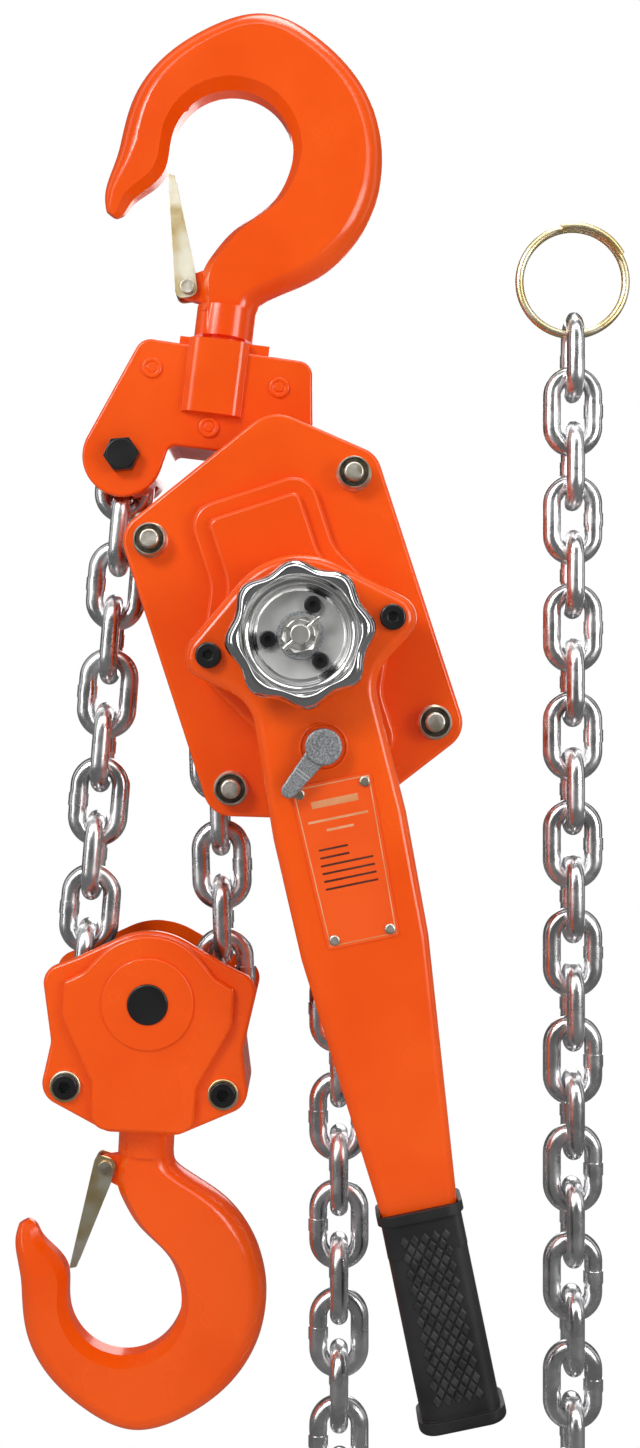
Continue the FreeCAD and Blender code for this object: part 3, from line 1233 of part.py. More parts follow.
def chain_runs():
    """Pins of the whole chain from the yoke to the end ring, run by run with its first link's number."""
    anchor = turned(ANCHOR_AT, TOP_HOOK_TILT)
    lift = ANCHOR_RADIUS + CHAIN_SLACK - WIRE / 2
    start = (YOKE_AT[0] + anchor[0], YOKE_AT[1] + anchor[1] + lift)
    number = 1
    reaches = reaches_of(number, LEFT_LINKS)
    left_end = joint_between(start, sum(reaches), BLOCK_AXLE, pin_circle(IDLER_POCKETS), 1)
    left = (number, straight_pins(start, left_end, number, reaches))
    number += LEFT_LINKS
    idler = (number, wrapped_pins(BLOCK_AXLE, left_end, number, IDLER_LINKS, 1))
    number += IDLER_LINKS
    low = idler[1][-1]
    reaches = reaches_of(number, RIGHT_LINKS)
    right_end = joint_between(low, sum(reaches), MAIN_AXIS, pin_circle(LOAD_POCKETS), -1)
    right = (number, straight_pins(low, right_end, number, reaches))
    number += RIGHT_LINKS
    load = (number, wrapped_pins(MAIN_AXIS, right_end, number, SHEAVE_LINKS, -1))
    number += SHEAVE_LINKS
    leaving = load[1][-1]
    tail_x = MAIN_AXIS[0] + TAIL_FROM_AXIS
    drop = math.sqrt(link_reach(number) ** 2 - (leaving[0] - tail_x) ** 2)
    pins = [leaving, (tail_x, leaving[1] - drop)]
    headings = [-90] * TAIL_LINKS_DOWN + list(TURN_HEADINGS) + [90] * RISE_LINKS
    for index, heading in enumerate(headings):
        pins.append(headed(pins[-1], heading, link_reach(number + 1 + index)))
    return left, idler, right, load, (number, pins)


def ring_arc(mean, wire, depth, start, sweep):
    """Stretch of round wire, bent about the Y axis. Angles run from +X towards +Z."""
    circle = Part.makeCircle(wire, Vector(mean, depth, 0), Vector(0, 0, 1))
    arc = Part.Face(Part.Wire([circle])).revolve(Vector(0, depth, 0), Vector(0, -1, 0), sweep)
    arc.rotate(Vector(0, 0, 0), Vector(0, 1, 0), -start)
    return arc


def end_ring(top):
    """Split ring: one full turn of wire whose end runs on beside its start."""
    wire = RING_WIRE / 2
    mean = RING_RADIUS - wire
    turn = Part.makeTorus(mean, wire, Vector(0, 0, 0), Vector(0, 1, 0))
    overlap = ring_arc(mean, wire, -2 * wire * 0.97, RING_OVERLAP_START, RING_OVERLAP)
    ring = merged(turn, [overlap])
    return placed(ring, (top[0], top[1] - WIRE / 2 - SEAT - wire + mean), 0)


def build_chain():
    runs = chain_runs()
    names = ("chain_left_fall", "chain_on_idler", "chain_right_fall", "chain_on_sheave", "chain_tail")
    for (number, pins), name in zip(runs, names):
        export(Part.makeCompound(run_of_links(pins, number)), name)
    export(end_ring(runs[-1][1][-1]), "end_ring")


BLOCK_SIDE = ((47, 8, 10.5), (64, -24, -12), (43.5, -46, 12), (17, -61, 10))
BLOCK_PANEL_SIDE = ((40, 21, -7), (43, 8, 3), (30, -6, 16), (37.5, -46, -9), (19, -60, 9))
BLOCK_DISCS = both_sides((0, 0, 38.5), ((42, 26, -4), *BLOCK_SIDE))
BLOCK_PANEL = both_sides((0, 0, 37.0), BLOCK_PANEL_SIDE)
BLOCK_RIM_TOP = -14.0
BLOCK_PANEL_RISE = 5.0


def block_shell(side):
    """Half of the lower block: cheek, raised panel, rim below and the seat of the hook's nut."""
    split = side * SIDE_PLAY / 4
    base = BLOCK_FACE - 3
    outside = softened(plate(BLOCK_DISCS, split, side * base), side * base, 2.5)
    panel_face = side * (base + BLOCK_PANEL_RISE)
    panel = softened(plate(BLOCK_PANEL, side * (base - 2), panel_face), panel_face, 2.5)
    boss = softened(round_bar(0, 0, AXLE_DIMPLE, side * base, panel_face + side * 1.5), panel_face + side * 1.5, 1.2)
    inside = plate(pulled_in(BLOCK_DISCS, BLOCK_WALL), 0, side * (base - BLOCK_WALL))
    open_top = block_of(-80, 80, 0, side * (base - BLOCK_WALL), BLOCK_RIM_TOP, 60)
    shell = without(merged(outside, [panel, boss]), [inside, open_top])
    posts = []
    for across in (-1, 1):
        u, w = across * BLOCK_BOLTS_AT[0], BLOCK_BOLTS_AT[1]
        posts.append(round_bar(u, w, 9, split, side * (base - 1)))
    shell = merged(shell, posts)
    shank_radius = SHANK_RADIUS + RUN_FIT
    cuts = [upright_bar(0, 0, shank_radius, -80, -60), round_bar(0, 0, AXLE_RADIUS + SEAT, 0, side * 50),
            round_bar(0, 0, chain_room(IDLER_POCKETS) + 1, 0, side * (WIRE / 2 + 1.5))]
    for across in (-1, 1):
        u, w = across * BLOCK_BOLTS_AT[0], BLOCK_BOLTS_AT[1]
        cuts.append(round_bar(u, w, BLOCK_BOLT_RADIUS + SEAT, 0, side * 50))
        cuts.append(round_bar(u, w, BLOCK_SLEEVE_RADIUS + SEAT, side * (base - 1.5), side * 50))
    return without(shell, cuts)


def block_bolts():
    """Socket bolts with their collars in the lugs, and round nuts behind."""
    bolts = []
    base = BLOCK_FACE - 3
    for across in (-1, 1):
        u, w = across * BLOCK_BOLTS_AT[0], BLOCK_BOLTS_AT[1]
        stem = round_bar(u, w, BLOCK_BOLT_RADIUS, -base, base)
        head = softened(round_bar(u, w, 6.8, -base + 1.5, -base - 4.5), -base - 4.5, 0.9)
        end = softened(round_bar(u, w, 6.8, base - 1.5, base + 3.5), base + 3.5, 0.9)
        socket = six_sided(u, w, 6.0, -base - 0.5, -base - 7, 10)
        bolts.append(without(merged(stem, [head, end]), [socket]))
    return Part.makeCompound(bolts)


def block_collars():
    collars = []
    base = BLOCK_FACE - 3
    for across in (-1, 1):
        for side in (FRONT, REAR):
            u, w = across * BLOCK_BOLTS_AT[0], BLOCK_BOLTS_AT[1]
            ring = round_bar(u, w, BLOCK_SLEEVE_RADIUS, side * (base - 1.5), side * (base + 2.5))
            ring = softened(ring, side * (base + 2.5), 0.8)
            collars.append(without(ring, [round_bar(u, w, 6.8 + SEAT, -60, 60)]))
    return Part.makeCompound(collars)


def idler_axle():
    face = BLOCK_FACE - 3 + BLOCK_PANEL_RISE + 1.5
    axle = round_bar(0, 0, AXLE_RADIUS, -face - 1.2, face + 1.2)
    return softened(softened(axle, -face - 1.2, 1.0), face + 1.2, 1.0)


def idler_sheave():
    return sheave(IDLER_POCKETS, AXLE_RADIUS + 4, AXLE_RADIUS + RUN_FIT, -SHEAVE_FLANGE_OUTER - 1.5,
                  SHEAVE_FLANGE_OUTER + 1.5)


def build_block():
    pieces = (("block_front_shell", block_shell(FRONT)), ("block_rear_shell", block_shell(REAR)),
              ("block_bolts", block_bolts()), ("block_collars", block_collars()),
              ("idler_axle", idler_axle()), ("idler_sheave", idler_sheave()))
    for name, shape in pieces:
        export(placed(shape, BLOCK_AXLE, BLOCK_TILT), name)


os.makedirs("parts", exist_ok=True)
build_hooks()
build_yoke()
build_body()
build_lever()
build_drive()
build_chain()
build_block()
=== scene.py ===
"""Dresses a lever chain hoist: painted castings, bright load chain, chromed hand wheel and rubber grip."""

import json
import math

import bpy
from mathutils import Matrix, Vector


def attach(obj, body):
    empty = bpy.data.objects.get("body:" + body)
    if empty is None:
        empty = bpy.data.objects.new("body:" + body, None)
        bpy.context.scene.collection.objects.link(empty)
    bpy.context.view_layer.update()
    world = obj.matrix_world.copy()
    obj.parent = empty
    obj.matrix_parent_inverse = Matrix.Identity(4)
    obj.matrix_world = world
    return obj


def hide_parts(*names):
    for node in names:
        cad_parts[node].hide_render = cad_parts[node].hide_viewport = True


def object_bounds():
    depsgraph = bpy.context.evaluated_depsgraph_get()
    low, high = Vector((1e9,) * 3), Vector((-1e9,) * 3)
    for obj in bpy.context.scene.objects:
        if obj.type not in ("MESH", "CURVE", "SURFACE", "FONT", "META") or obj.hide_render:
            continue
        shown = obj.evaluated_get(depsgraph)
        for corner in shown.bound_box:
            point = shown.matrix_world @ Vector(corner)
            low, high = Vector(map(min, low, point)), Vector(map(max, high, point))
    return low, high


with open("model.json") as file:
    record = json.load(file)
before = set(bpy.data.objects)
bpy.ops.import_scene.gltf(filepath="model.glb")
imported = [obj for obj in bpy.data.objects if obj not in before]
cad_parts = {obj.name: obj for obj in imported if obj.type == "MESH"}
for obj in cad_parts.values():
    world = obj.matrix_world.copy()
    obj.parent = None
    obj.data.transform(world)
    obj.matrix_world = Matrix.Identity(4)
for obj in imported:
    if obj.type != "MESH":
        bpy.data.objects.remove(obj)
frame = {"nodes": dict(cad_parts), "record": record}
CAD_BOX = [list(corner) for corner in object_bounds()]
NODES = frame["nodes"]
BODY_OF = {node: body for body, nodes in frame["record"]["behaviour"]["bodies"].items() for node in nodes}
SLOT_OF = {part["node"]: part["material_slot"] for part in frame["record"]["subparts"]}

bl_info = {
    "name": "Lever chain hoist",
    "version": (1, 0, 0),
    "blender": (4, 5, 0),
    "location": "3D View > Sidebar > Hoist",
    "description": "Finishes a lever chain hoist around its frame",
    "category": "Object",
}

MM = 0.001
IMAGE_LONG_SIDE = 1448
PIXELS_PER_MM = 1.8

# Main axis of the hoist body and the lever's tilt, in the frame
MAIN_AXIS = Vector((39.0, 0.0, -271.5)) * MM
LEVER_TILT = math.radians(-11.7)

# Corners this near merge, faces this level are one face, and edges sharper than these are rounded or kept
MERGE_REACH = 0.01 * MM
FLAT_ANGLE = math.radians(0.4)
SHARP_ANGLE = math.radians(32.0)
CRISP_SHADING = math.radians(34.0)
SOFT_SHADING = math.radians(50.0)
ROUND_SHADING = math.radians(60.0)

# Cosine above which two directions count as the same
PARALLEL = 0.99

# Hand wheel: its section as radius and depth in millimetres, from the hub round the rim and back
WHEEL_STEPS = 96
WHEEL_SECTION = (
    (24.0, -84.0), (24.0, -88.0), (30.0, -88.0), (35.0, -89.0), (37.4, -92.0), (38.2, -97.0), (37.6, -101.5),
    (35.6, -104.8), (33.0, -106.0), (30.6, -105.5), (29.0, -103.8), (28.2, -101.2), (27.4, -99.8),
    (26.2, -99.4), (25.2, -98.8), (24.6, -96.0), (24.0, -94.0), (23.0, -93.4), (21.6, -92.4), (20.6, -92.0),
    (11.0, -92.0), (7.0, -92.0), (7.0, -84.0), (24.0, -84.0))
FLOOR_SECTION = ((8.0, -91.6), (22.2, -91.6), (23.2, -92.6), (23.0, -92.9), (22.2, -92.7), (18.0, -92.35),
                 (12.0, -92.15), (8.0, -92.1), (8.0, -91.6))

# Waves of the wheel's rim: how many, how deep, and how they grow from their least share outwards
WHEEL_WAVES = 8
WHEEL_PHASE = math.radians(6.0)
WHEEL_WAVE = 1.9
WAVE_INSIDE = 28.6
WAVE_FROM = 29.0
WAVE_RUN = 6.5
WAVE_LEAST = 0.2

# Rubber grip in millimetres on the lever: its two broad faces and the ends of their panel of diamonds
GRIP_FACES = (-83.25, -54.25)
GRIP_PANEL = (-306.0, -396.0)
GRIP_EDGE = 0.8

# Raised diamonds: their height, and their foot, top and crown as shares of one diamond's room
DIAMOND_HEIGHT = 0.9
DIAMOND_FOOT = 0.46
DIAMOND_TOP = 0.36
DIAMOND_SEAT = 0.4
CROWN_INSET = 0.1
CROWN_RISE = 0.2

# Cuff that closes the grip round the lever's square collar
CUFF_SPAN = (-300.0, -318.0)
CUFF_WIDTH = 41.3
CUFF_DEPTH = 29.2
CUFF_CORNER = 5.0
CUFF_EDGE = 0.15
CUFF_EDGE_ANGLE = math.radians(60.0)

# Nameplate's edges and face, in millimetres on the lever
PLATE_TOP = (-74.0, 21.0)
PLATE_BOTTOM = (-158.0, 18.5)
PLATE_FACE = -81.8
PLATE_EDGE = 0.25

# Border and rows of the nameplate: how far in, how wide, how thick and how far proud of the face
BORDER_MARGIN = 1.6
BORDER_WIDTH = 0.5
BORDER_CORNER = 0.1
ROW_CORNER = 0.2
ROW_THICKNESS = 0.3
ROW_PROUD = 0.12

# Blank rows on the nameplate: place, width and height in millimetres
PALE_ROWS = ((0.0, -85.0, 24.0, 3.6), (0.0, -93.4, 31.0, 1.2), (0.0, -98.6, 14.0, 1.2))
DARK_ROWS = ((-5.5, -108.0, 15.0, 1.0), (-5.5, -112.0, 15.0, 1.0), (0.0, -116.0, 27.0, 1.0),
             (0.0, -120.0, 27.0, 1.0), (0.0, -124.0, 27.0, 1.0), (0.0, -128.0, 27.0, 1.0))

# Selector: its centre on the lever, the direction, width and face of its arm, and the arm's creases, drawn as
# bright strips of painted highlight
SELECTOR_AT = (0.0, -57.0)
SELECTOR_ARM = math.radians(220.0)
ARM_WIDTH = 8.6
ARM_FACE = -89.2
SELECTOR_EDGE = 0.8
CREASE_REACHES = (16.6, 18.4)
CREASE_WIDTH = 0.7
CREASE_THICKNESS = 0.4
CREASE_CORNER = 0.25
CREASE_PROUD = 0.15

# Small rings by their section: round the selector's boss and under the castle nut, as radius and depth
RING_STEPS = 64
BOSS_SECTION = ((11.0, -80.8), (11.0, -81.3), (11.5, -81.7), (12.1, -81.7), (12.6, -81.3), (12.6, -80.8),
                (11.0, -80.8))
WASHER_SECTION = ((8.4, -91.8), (11.9, -91.8), (11.9, -93.4), (11.5, -93.8), (8.8, -93.8), (8.4, -93.5),
                  (8.4, -91.8))

# Stay nuts: where they stand, the depth and direction of their seats, and their section as radius and rise
STAY_SPOTS = ((1.9, -349.8), (-40.8, -218.6), (109.3, -314.9), (66.7, -183.6))
NUT_SEATS = (("front", -43.0, -1.0), ("rear", 50.0, 1.0))
NUT_STEPS = 40
NUT_SECTION = ((4.6, 0.0), (9.3, 0.0), (9.3, 1.0), (8.9, 1.4), (8.5, 1.8), (8.5, 7.8), (8.2, 8.2), (7.8, 8.2),
               (7.6, 7.9), (7.5, 6.9), (5.2, 6.9), (5.15, 8.6), (4.9, 8.9), (4.6, 8.9), (4.6, 0.0))
# Ring of painted shade in each nut's recess round the bolt's end, as radius and rise
SHADE_RING_SECTION = ((5.25, 6.7), (7.55, 6.7), (7.55, 7.1), (5.25, 7.1), (5.25, 6.7))

# Yoke's rivets: depth and least area of their heads, and the steps pressed in, as inset and sink
RIVET_FACE = 23.6
RIVET_AREA = 10.0
RIVET_STEPS = ((1.1, 0.8), (0.8, -0.7))
RIVET_EDGE = 0.22
STEP_WALL = 0.25
FACE_REACH = 0.05

# Camera's place across and up, and the point that the lamps aim at, in the frame
CAMERA_AT = (48.8, -315.8)
CAMERA_SENSOR = 36.0
LAMP_AIM = Vector((50.0, 0.0, -330.0)) * MM

# Lamps: place and size in metres, and power in watts
LAMPS = (
    ("key_lamp", (-0.9, -1.3, 0.7), 0.6, 14.0),
    ("fill_lamp", (1.2, -1.1, -0.1), 0.6, 6.0),
    ("top_lamp", (0.2, 0.1, 1.1), 0.6, 7.0),
    ("low_lamp", (-0.3, -1.0, -1.2), 0.6, 3.2),
    ("back_lamp", (0.3, 1.4, 0.2), 1.0, 8.0),
)

# Floor in metres: its size, its middle across and its drop below the hoist, then its tone, its roughness
# and how bright the gloss of the metal mirrors it
FLOOR_SIZE = 8.0
FLOOR_MIDDLE = 0.1
FLOOR_DROP = 0.05
FLOOR_TONE = (0.8, 0.8, 0.8, 1.0)
FLOOR_ROUGHNESS = 0.9
FLOOR_DUSK = 0.14

# Soft light from all round
SKY_TONE = (0.86, 0.88, 0.9, 1.0)
SKY_STRENGTH = 0.5

# Room that the gloss mirrors, from in front of the hoist to behind it: place and tone
ROOM_TONES = ((0.0, 0.03), (0.12, 0.025), (0.16, 0.8), (0.235, 1.0), (0.27, 0.04), (0.46, 0.01), (0.51, 0.25),
              (0.58, 0.3), (0.64, 0.015), (1.0, 0.03))
ROOM_STRENGTH = 3.6
ROOM_PATCHES = 2.2
ROOM_DRIFT = 0.5
ROOM_REACH = (-0.75, 1.25)

# Uneven surfaces: the bumps' depth, the stretch of noise that their roughness follows, and the places in
# that noise where a finish passes from its first tone to its second
BUMP_DISTANCE = 0.6 * MM
BUMP_DETAIL = 2.0
PATCH_DETAIL = 3.0
PATCH_SPREAD = (0.3, 0.7)
TONE_PLACES = (0.36, 0.64)

# Second tones: the paint's red and green where it lies deep, and the chain's where it is dull
DEEP_RED = 0.93
DEEP_GREEN = 0.8
DULL_CHAIN = 0.74

# Pieces whose solids only need finer edges and a smooth surface, each with its edges' radius
CASTINGS = {
    "yoke_front_half": 0.9,
    "yoke_rear_half": 0.9,
    "front_frame_plate": 0.6,
    "rear_frame_plate": 0.6,
    "brake_cover": 0.7,
    "gear_case": 1.0,
    "lever_front_shell": 0.8,
    "lever_rear_shell": 0.8,
    "block_front_shell": 1.0,
    "block_rear_shell": 1.0,
}

# Pressings with raised steps: the depth that the steps stand on, and the radius of their rolled edges
PRESSED_STEPS = {"brake_cover": (-43.0, 2.2)}
STEP_ANGLE = math.radians(25.0)
STEP_RISE = 0.5
STEP_FOOT = 0.1

# Forgings, bent latches and hardware, each with its edges' radius
FORGINGS = {"top_hook": 1.6, "bottom_hook": 1.5}
LATCHES = {"top_hook_latch": 0.25, "bottom_hook_latch": 0.25, "top_latch_pin": 0.3, "bottom_latch_pin": 0.3}
HARDWARE = {
    "anchor_bolt": 0.5,
    "anchor_nut": 0.5,
    "stay_bolts": 0.3,
    "yoke_pin": 0.6,
    "lever_screws": 0.4,
    "hand_wheel_screws": 0.25,
    "castle_nut": 0.4,
    "cotter_pin": 0.1,
    "block_bolts": 0.4,
    "block_collars": 0.5,
    "idler_axle": 0.8,
    "top_hook_nut": 0.5,
    "bottom_hook_nut": 0.5,
    "chain_guide": 0.3,
    "nameplate_rivets": 0.2,
}

CHAIN_RUNS = ("chain_left_fall", "chain_on_idler", "chain_right_fall", "chain_on_sheave", "chain_tail")


def clear_selection():
    """Leaves edit mode, with nothing selected."""
    if bpy.context.object and bpy.context.object.mode != "OBJECT":
        bpy.ops.object.mode_set(mode="OBJECT")
    bpy.ops.object.select_all(action="DESELECT")


def activate(piece):
    """Selects one piece and nothing else."""
    clear_selection()
    piece.select_set(True)
    bpy.context.view_layer.objects.active = piece


def add_modifier(piece, kind, **values):
    """Gives a piece a modifier with these settings, and applies it."""
    activate(piece)
    modifier = piece.modifiers.new(kind.title(), kind)
    for name, value in values.items():
        setattr(modifier, name, value)
    bpy.ops.object.modifier_apply(modifier=modifier.name)


def round_edges(piece, radius_mm, angle=SHARP_ANGLE):
    """Rounds the edges that turn by more than an angle."""
    add_modifier(piece, "BEVEL", width=radius_mm * MM, segments=2, limit_method="ANGLE", angle_limit=angle)


def smoothed(piece, angle):
    """Even shading on a piece's curves, with its flat faces kept flat."""
    activate(piece)
    bpy.ops.object.shade_smooth_by_angle(angle=angle)
    add_modifier(piece, "WEIGHTED_NORMAL", keep_sharp=True, weight=80)


def seat(piece, body, slot, material, *replaced):
    """Puts a finished piece on its body, with its finish and the solids it stands for."""
    activate(piece)
    bpy.ops.object.transform_apply(location=True, rotation=True, scale=True)
    piece.data.materials.clear()
    piece.data.materials.append(material)
    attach(piece, body)
    if replaced:
        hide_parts(*replaced)


def merged_copy(node, name):
    """A copy of a solid's mesh with its corners joined and its flat faces whole."""
    mesh = NODES[node].data.copy()
    piece = bpy.data.objects.new(name, mesh)
    bpy.context.scene.collection.objects.link(piece)
    activate(piece)
    if mesh.has_custom_normals:
        bpy.ops.mesh.customdata_custom_splitnormals_clear()
    bpy.ops.object.mode_set(mode="EDIT")
    bpy.ops.mesh.select_all(action="SELECT")
    bpy.ops.mesh.remove_doubles(threshold=MERGE_REACH)
    bpy.ops.mesh.dissolve_limited(angle_limit=FLAT_ANGLE)
    bpy.ops.object.mode_set(mode="OBJECT")
    return piece


def soften_steps(piece, ground, radius_mm):
    """Rolls the edges of a pressing's steps in front of its ground, and the hollows at their feet."""
    mesh = piece.data
    sides = {}
    for face in mesh.polygons:
        for key in face.edge_keys:
            sides.setdefault(key, []).append(face)
    select_where(piece, "VERT", lambda vertex: False)
    bpy.ops.object.mode_set(mode="OBJECT")
    for edge in mesh.edges:
        faces = sides.get(edge.key, [])
        if len(faces) != 2 or faces[0].normal.angle(faces[1].normal, 0.0) < STEP_ANGLE:
            continue
        depths = [mesh.vertices[index].co.y / MM for index in edge.vertices]
        hollow = (faces[1].center - faces[0].center).dot(faces[0].normal) > 0.0
        raised = max(depths) < ground - STEP_RISE
        edge.select = raised or (hollow and max(depths) < ground + STEP_FOOT)
    bpy.context.tool_settings.mesh_select_mode = (False, True, False)
    bpy.ops.object.mode_set(mode="EDIT")
    bpy.ops.mesh.bevel(offset=radius_mm * MM, segments=4, clamp_overlap=True)
    bpy.ops.object.mode_set(mode="OBJECT")


def eased(node, name, radius_mm, material, shading=CRISP_SHADING):
    """The solid with its sharp edges rounded, as casting, pressing and tumbling leave them."""
    piece = merged_copy(node, name)
    if node in PRESSED_STEPS:
        soften_steps(piece, *PRESSED_STEPS[node])
    round_edges(piece, radius_mm)
    smoothed(piece, shading)
    seat(piece, BODY_OF[node], SLOT_OF[node], material, node)


def on_lever(u, w, depth):
    """A point of the frame from a place on the lever: across, along and depth, in millimetres."""
    x = u * math.cos(LEVER_TILT) + w * math.sin(LEVER_TILT)
    z = -u * math.sin(LEVER_TILT) + w * math.cos(LEVER_TILT)
    return MAIN_AXIS + Vector((x, depth, z)) * MM


def select_where(piece, kind, wanted):
    """Selects the vertices, edges or faces of a mesh that a test picks, and leaves edit mode open."""
    activate(piece)
    for elements in (piece.data.vertices, piece.data.edges, piece.data.polygons):
        elements.foreach_set("select", [False] * len(elements))
    chosen = {"VERT": piece.data.vertices, "EDGE": piece.data.edges, "FACE": piece.data.polygons}[kind]
    for element in chosen:
        element.select = wanted(element)
    bpy.context.tool_settings.mesh_select_mode = (kind == "VERT", kind == "EDGE", kind == "FACE")
    bpy.ops.object.mode_set(mode="EDIT")


def stepped_faces(piece, depth, smallest, steps):
    """Presses concentric steps into the flat round faces at one depth: how far in, then how far sunk."""
    def at_depth(face):
        near = abs(face.center.y - depth) < FACE_REACH * MM
        return near and abs(face.normal.y) > PARALLEL and face.area > smallest

    select_where(piece, "FACE", at_depth)
    outward = -1.0 if depth < 0.0 else 1.0
    for inward, sunk in steps:
        bpy.ops.mesh.inset(thickness=inward * MM, depth=0.0, use_even_offset=True)
        if sunk:
            bpy.ops.mesh.inset(thickness=STEP_WALL * MM, depth=0.0, use_even_offset=True)
            bpy.ops.transform.translate(value=(0.0, -outward * sunk * MM, 0.0))
    bpy.ops.object.mode_set(mode="OBJECT")


def turned_ring(name, section, steps, centre=MAIN_AXIS):
    """A ring round an axis along the hoist's depth: a circle extruded through a closed section."""
    clear_selection()
    first_radius, first_depth = section[0]
    start = centre + Vector((0.0, first_depth * MM, 0.0))
    bpy.ops.mesh.primitive_circle_add(vertices=steps, radius=first_radius * MM, location=start,
                                      rotation=(math.radians(90.0), 0.0, 0.0))
    piece = bpy.context.object
    piece.name = name
    bpy.ops.object.transform_apply(location=True, rotation=True, scale=True)
    bpy.ops.object.mode_set(mode="EDIT")
    bpy.ops.mesh.select_all(action="SELECT")
    radius, depth = first_radius, first_depth
    for next_radius, next_depth in section[1:]:
        bpy.ops.mesh.extrude_edges_move(
            TRANSFORM_OT_translate={"value": (0.0, (next_depth - depth) * MM, 0.0)})
        if next_radius != radius:
            scale = next_radius / radius
            bpy.ops.transform.resize(value=(scale, 1.0, scale),
                                     center_override=centre + Vector((0.0, next_depth * MM, 0.0)))
        radius, depth = next_radius, next_depth
    bpy.ops.mesh.select_all(action="SELECT")
    bpy.ops.mesh.remove_doubles(threshold=MERGE_REACH)
    bpy.ops.mesh.normals_make_consistent(inside=False)
    bpy.ops.object.mode_set(mode="OBJECT")
    return piece


def wave_rim(piece):
    """Draws the rim in and out in gentle waves, each set of like vertices scaled at once."""
    places = {}
    for vertex in piece.data.vertices:
        away = vertex.co - MAIN_AXIS
        radius = math.hypot(away.x, away.z) / MM
        if radius < WAVE_INSIDE:
            continue
        turn = math.atan2(away.z, away.x)
        swell = round(math.cos(WHEEL_WAVES * (turn - WHEEL_PHASE)), 3)
        share = min(1.0, WAVE_LEAST + max(0.0, radius - WAVE_FROM) / WAVE_RUN)
        scale = round(1.0 + WHEEL_WAVE * share * (swell - 1.0) / radius, 4)
        places.setdefault(scale, set()).add(vertex.index)
    for scale, members in places.items():
        select_where(piece, "VERT", lambda vertex: vertex.index in members)
        bpy.ops.transform.resize(value=(scale, 1.0, scale), center_override=MAIN_AXIS)
        bpy.ops.object.mode_set(mode="OBJECT")


def joined(pieces, name):
    """One piece made of several."""
    clear_selection()
    for piece in pieces:
        piece.select_set(True)
    bpy.context.view_layer.objects.active = pieces[0]
    bpy.ops.object.join()
    pieces[0].name = name
    return pieces[0]


def copied_to(piece, spots):
    """Copies a piece to each further spot, and joins the copies with it."""
    first = spots[0]
    pieces = [piece]
    for spot in spots[1:]:
        activate(piece)
        bpy.ops.object.duplicate(linked=False)
        twin = bpy.context.object
        twin.location = spot - first
        bpy.ops.object.transform_apply(location=True, rotation=False, scale=False)
        pieces.append(twin)
    return joined(pieces, piece.name)


def laid_strip(name, u, w, depth, wide, high, thick, corner, turn=0.0):
    """A thin strip with rounded corners, laid on the lever with its outer face at a depth."""
    clear_selection()
    bpy.ops.mesh.primitive_plane_add(size=1.0, location=on_lever(u, w, depth),
                                     rotation=(math.radians(90.0), LEVER_TILT + turn, 0.0))
    strip = bpy.context.object
    strip.name = name
    strip.scale = (wide * MM, high * MM, 1.0)
    bpy.ops.object.transform_apply(location=True, rotation=True, scale=True)
    bpy.ops.object.mode_set(mode="EDIT")
    bpy.ops.mesh.select_all(action="SELECT")
    bpy.ops.mesh.bevel(offset=corner * MM, segments=3, affect="VERTICES")
    bpy.ops.mesh.extrude_region_move(TRANSFORM_OT_translate={"value": (0.0, thick * MM, 0.0)})
    bpy.ops.mesh.select_all(action="SELECT")
    bpy.ops.mesh.normals_make_consistent(inside=False)
    bpy.ops.object.mode_set(mode="OBJECT")
    return strip


def group_with(name, inputs, outputs):
    """An empty shader node group with its sockets, and the nodes at its two ends."""
    tree = bpy.data.node_groups.new(name, "ShaderNodeTree")
    for label, value in inputs:
        socket = tree.interface.new_socket(name=label, in_out="INPUT", socket_type="NodeSocketFloat")
        socket.default_value = value
    for label, kind in outputs:
        tree.interface.new_socket(name=label, in_out="OUTPUT", socket_type=kind)
    return tree, tree.nodes.new("NodeGroupInput"), tree.nodes.new("NodeGroupOutput")


def noise_in(tree, place, scale, detail):
    """Noise over a place, with its scale taken from another socket."""
    noise = tree.nodes.new("ShaderNodeTexNoise")
    noise.inputs["Detail"].default_value = detail
    tree.links.new(place, noise.inputs["Vector"])
    tree.links.new(scale, noise.inputs["Scale"])
    return noise.outputs["Fac"]


def surface_group():
    """Fine unevenness of a metal or painted surface: a bumped normal and an uneven roughness."""
    tree, inside, outside = group_with(
        "Uneven surface",
        (("Bump scale", 180.0), ("Bump strength", 0.1), ("Patch scale", 30.0), ("Roughness low", 0.2),
         ("Roughness high", 0.3)),
        (("Normal", "NodeSocketVector"), ("Roughness", "NodeSocketFloat"), ("Patches", "NodeSocketFloat")))
    place = tree.nodes.new("ShaderNodeTexCoord").outputs["Object"]
    fine = noise_in(tree, place, inside.outputs["Bump scale"], BUMP_DETAIL)
    bump = tree.nodes.new("ShaderNodeBump")
    bump.inputs["Distance"].default_value = BUMP_DISTANCE
    tree.links.new(inside.outputs["Bump strength"], bump.inputs["Strength"])
    tree.links.new(fine, bump.inputs["Height"])
    patches = noise_in(tree, place, inside.outputs["Patch scale"], PATCH_DETAIL)
    spread = tree.nodes.new("ShaderNodeMapRange")
    spread.inputs["From Min"].default_value, spread.inputs["From Max"].default_value = PATCH_SPREAD
    tree.links.new(patches, spread.inputs["Value"])
    tree.links.new(inside.outputs["Roughness low"], spread.inputs["To Min"])
    tree.links.new(inside.outputs["Roughness high"], spread.inputs["To Max"])
    tree.links.new(bump.outputs["Normal"], outside.inputs["Normal"])
    tree.links.new(spread.outputs["Result"], outside.inputs["Roughness"])
    tree.links.new(patches, outside.inputs["Patches"])
    return tree


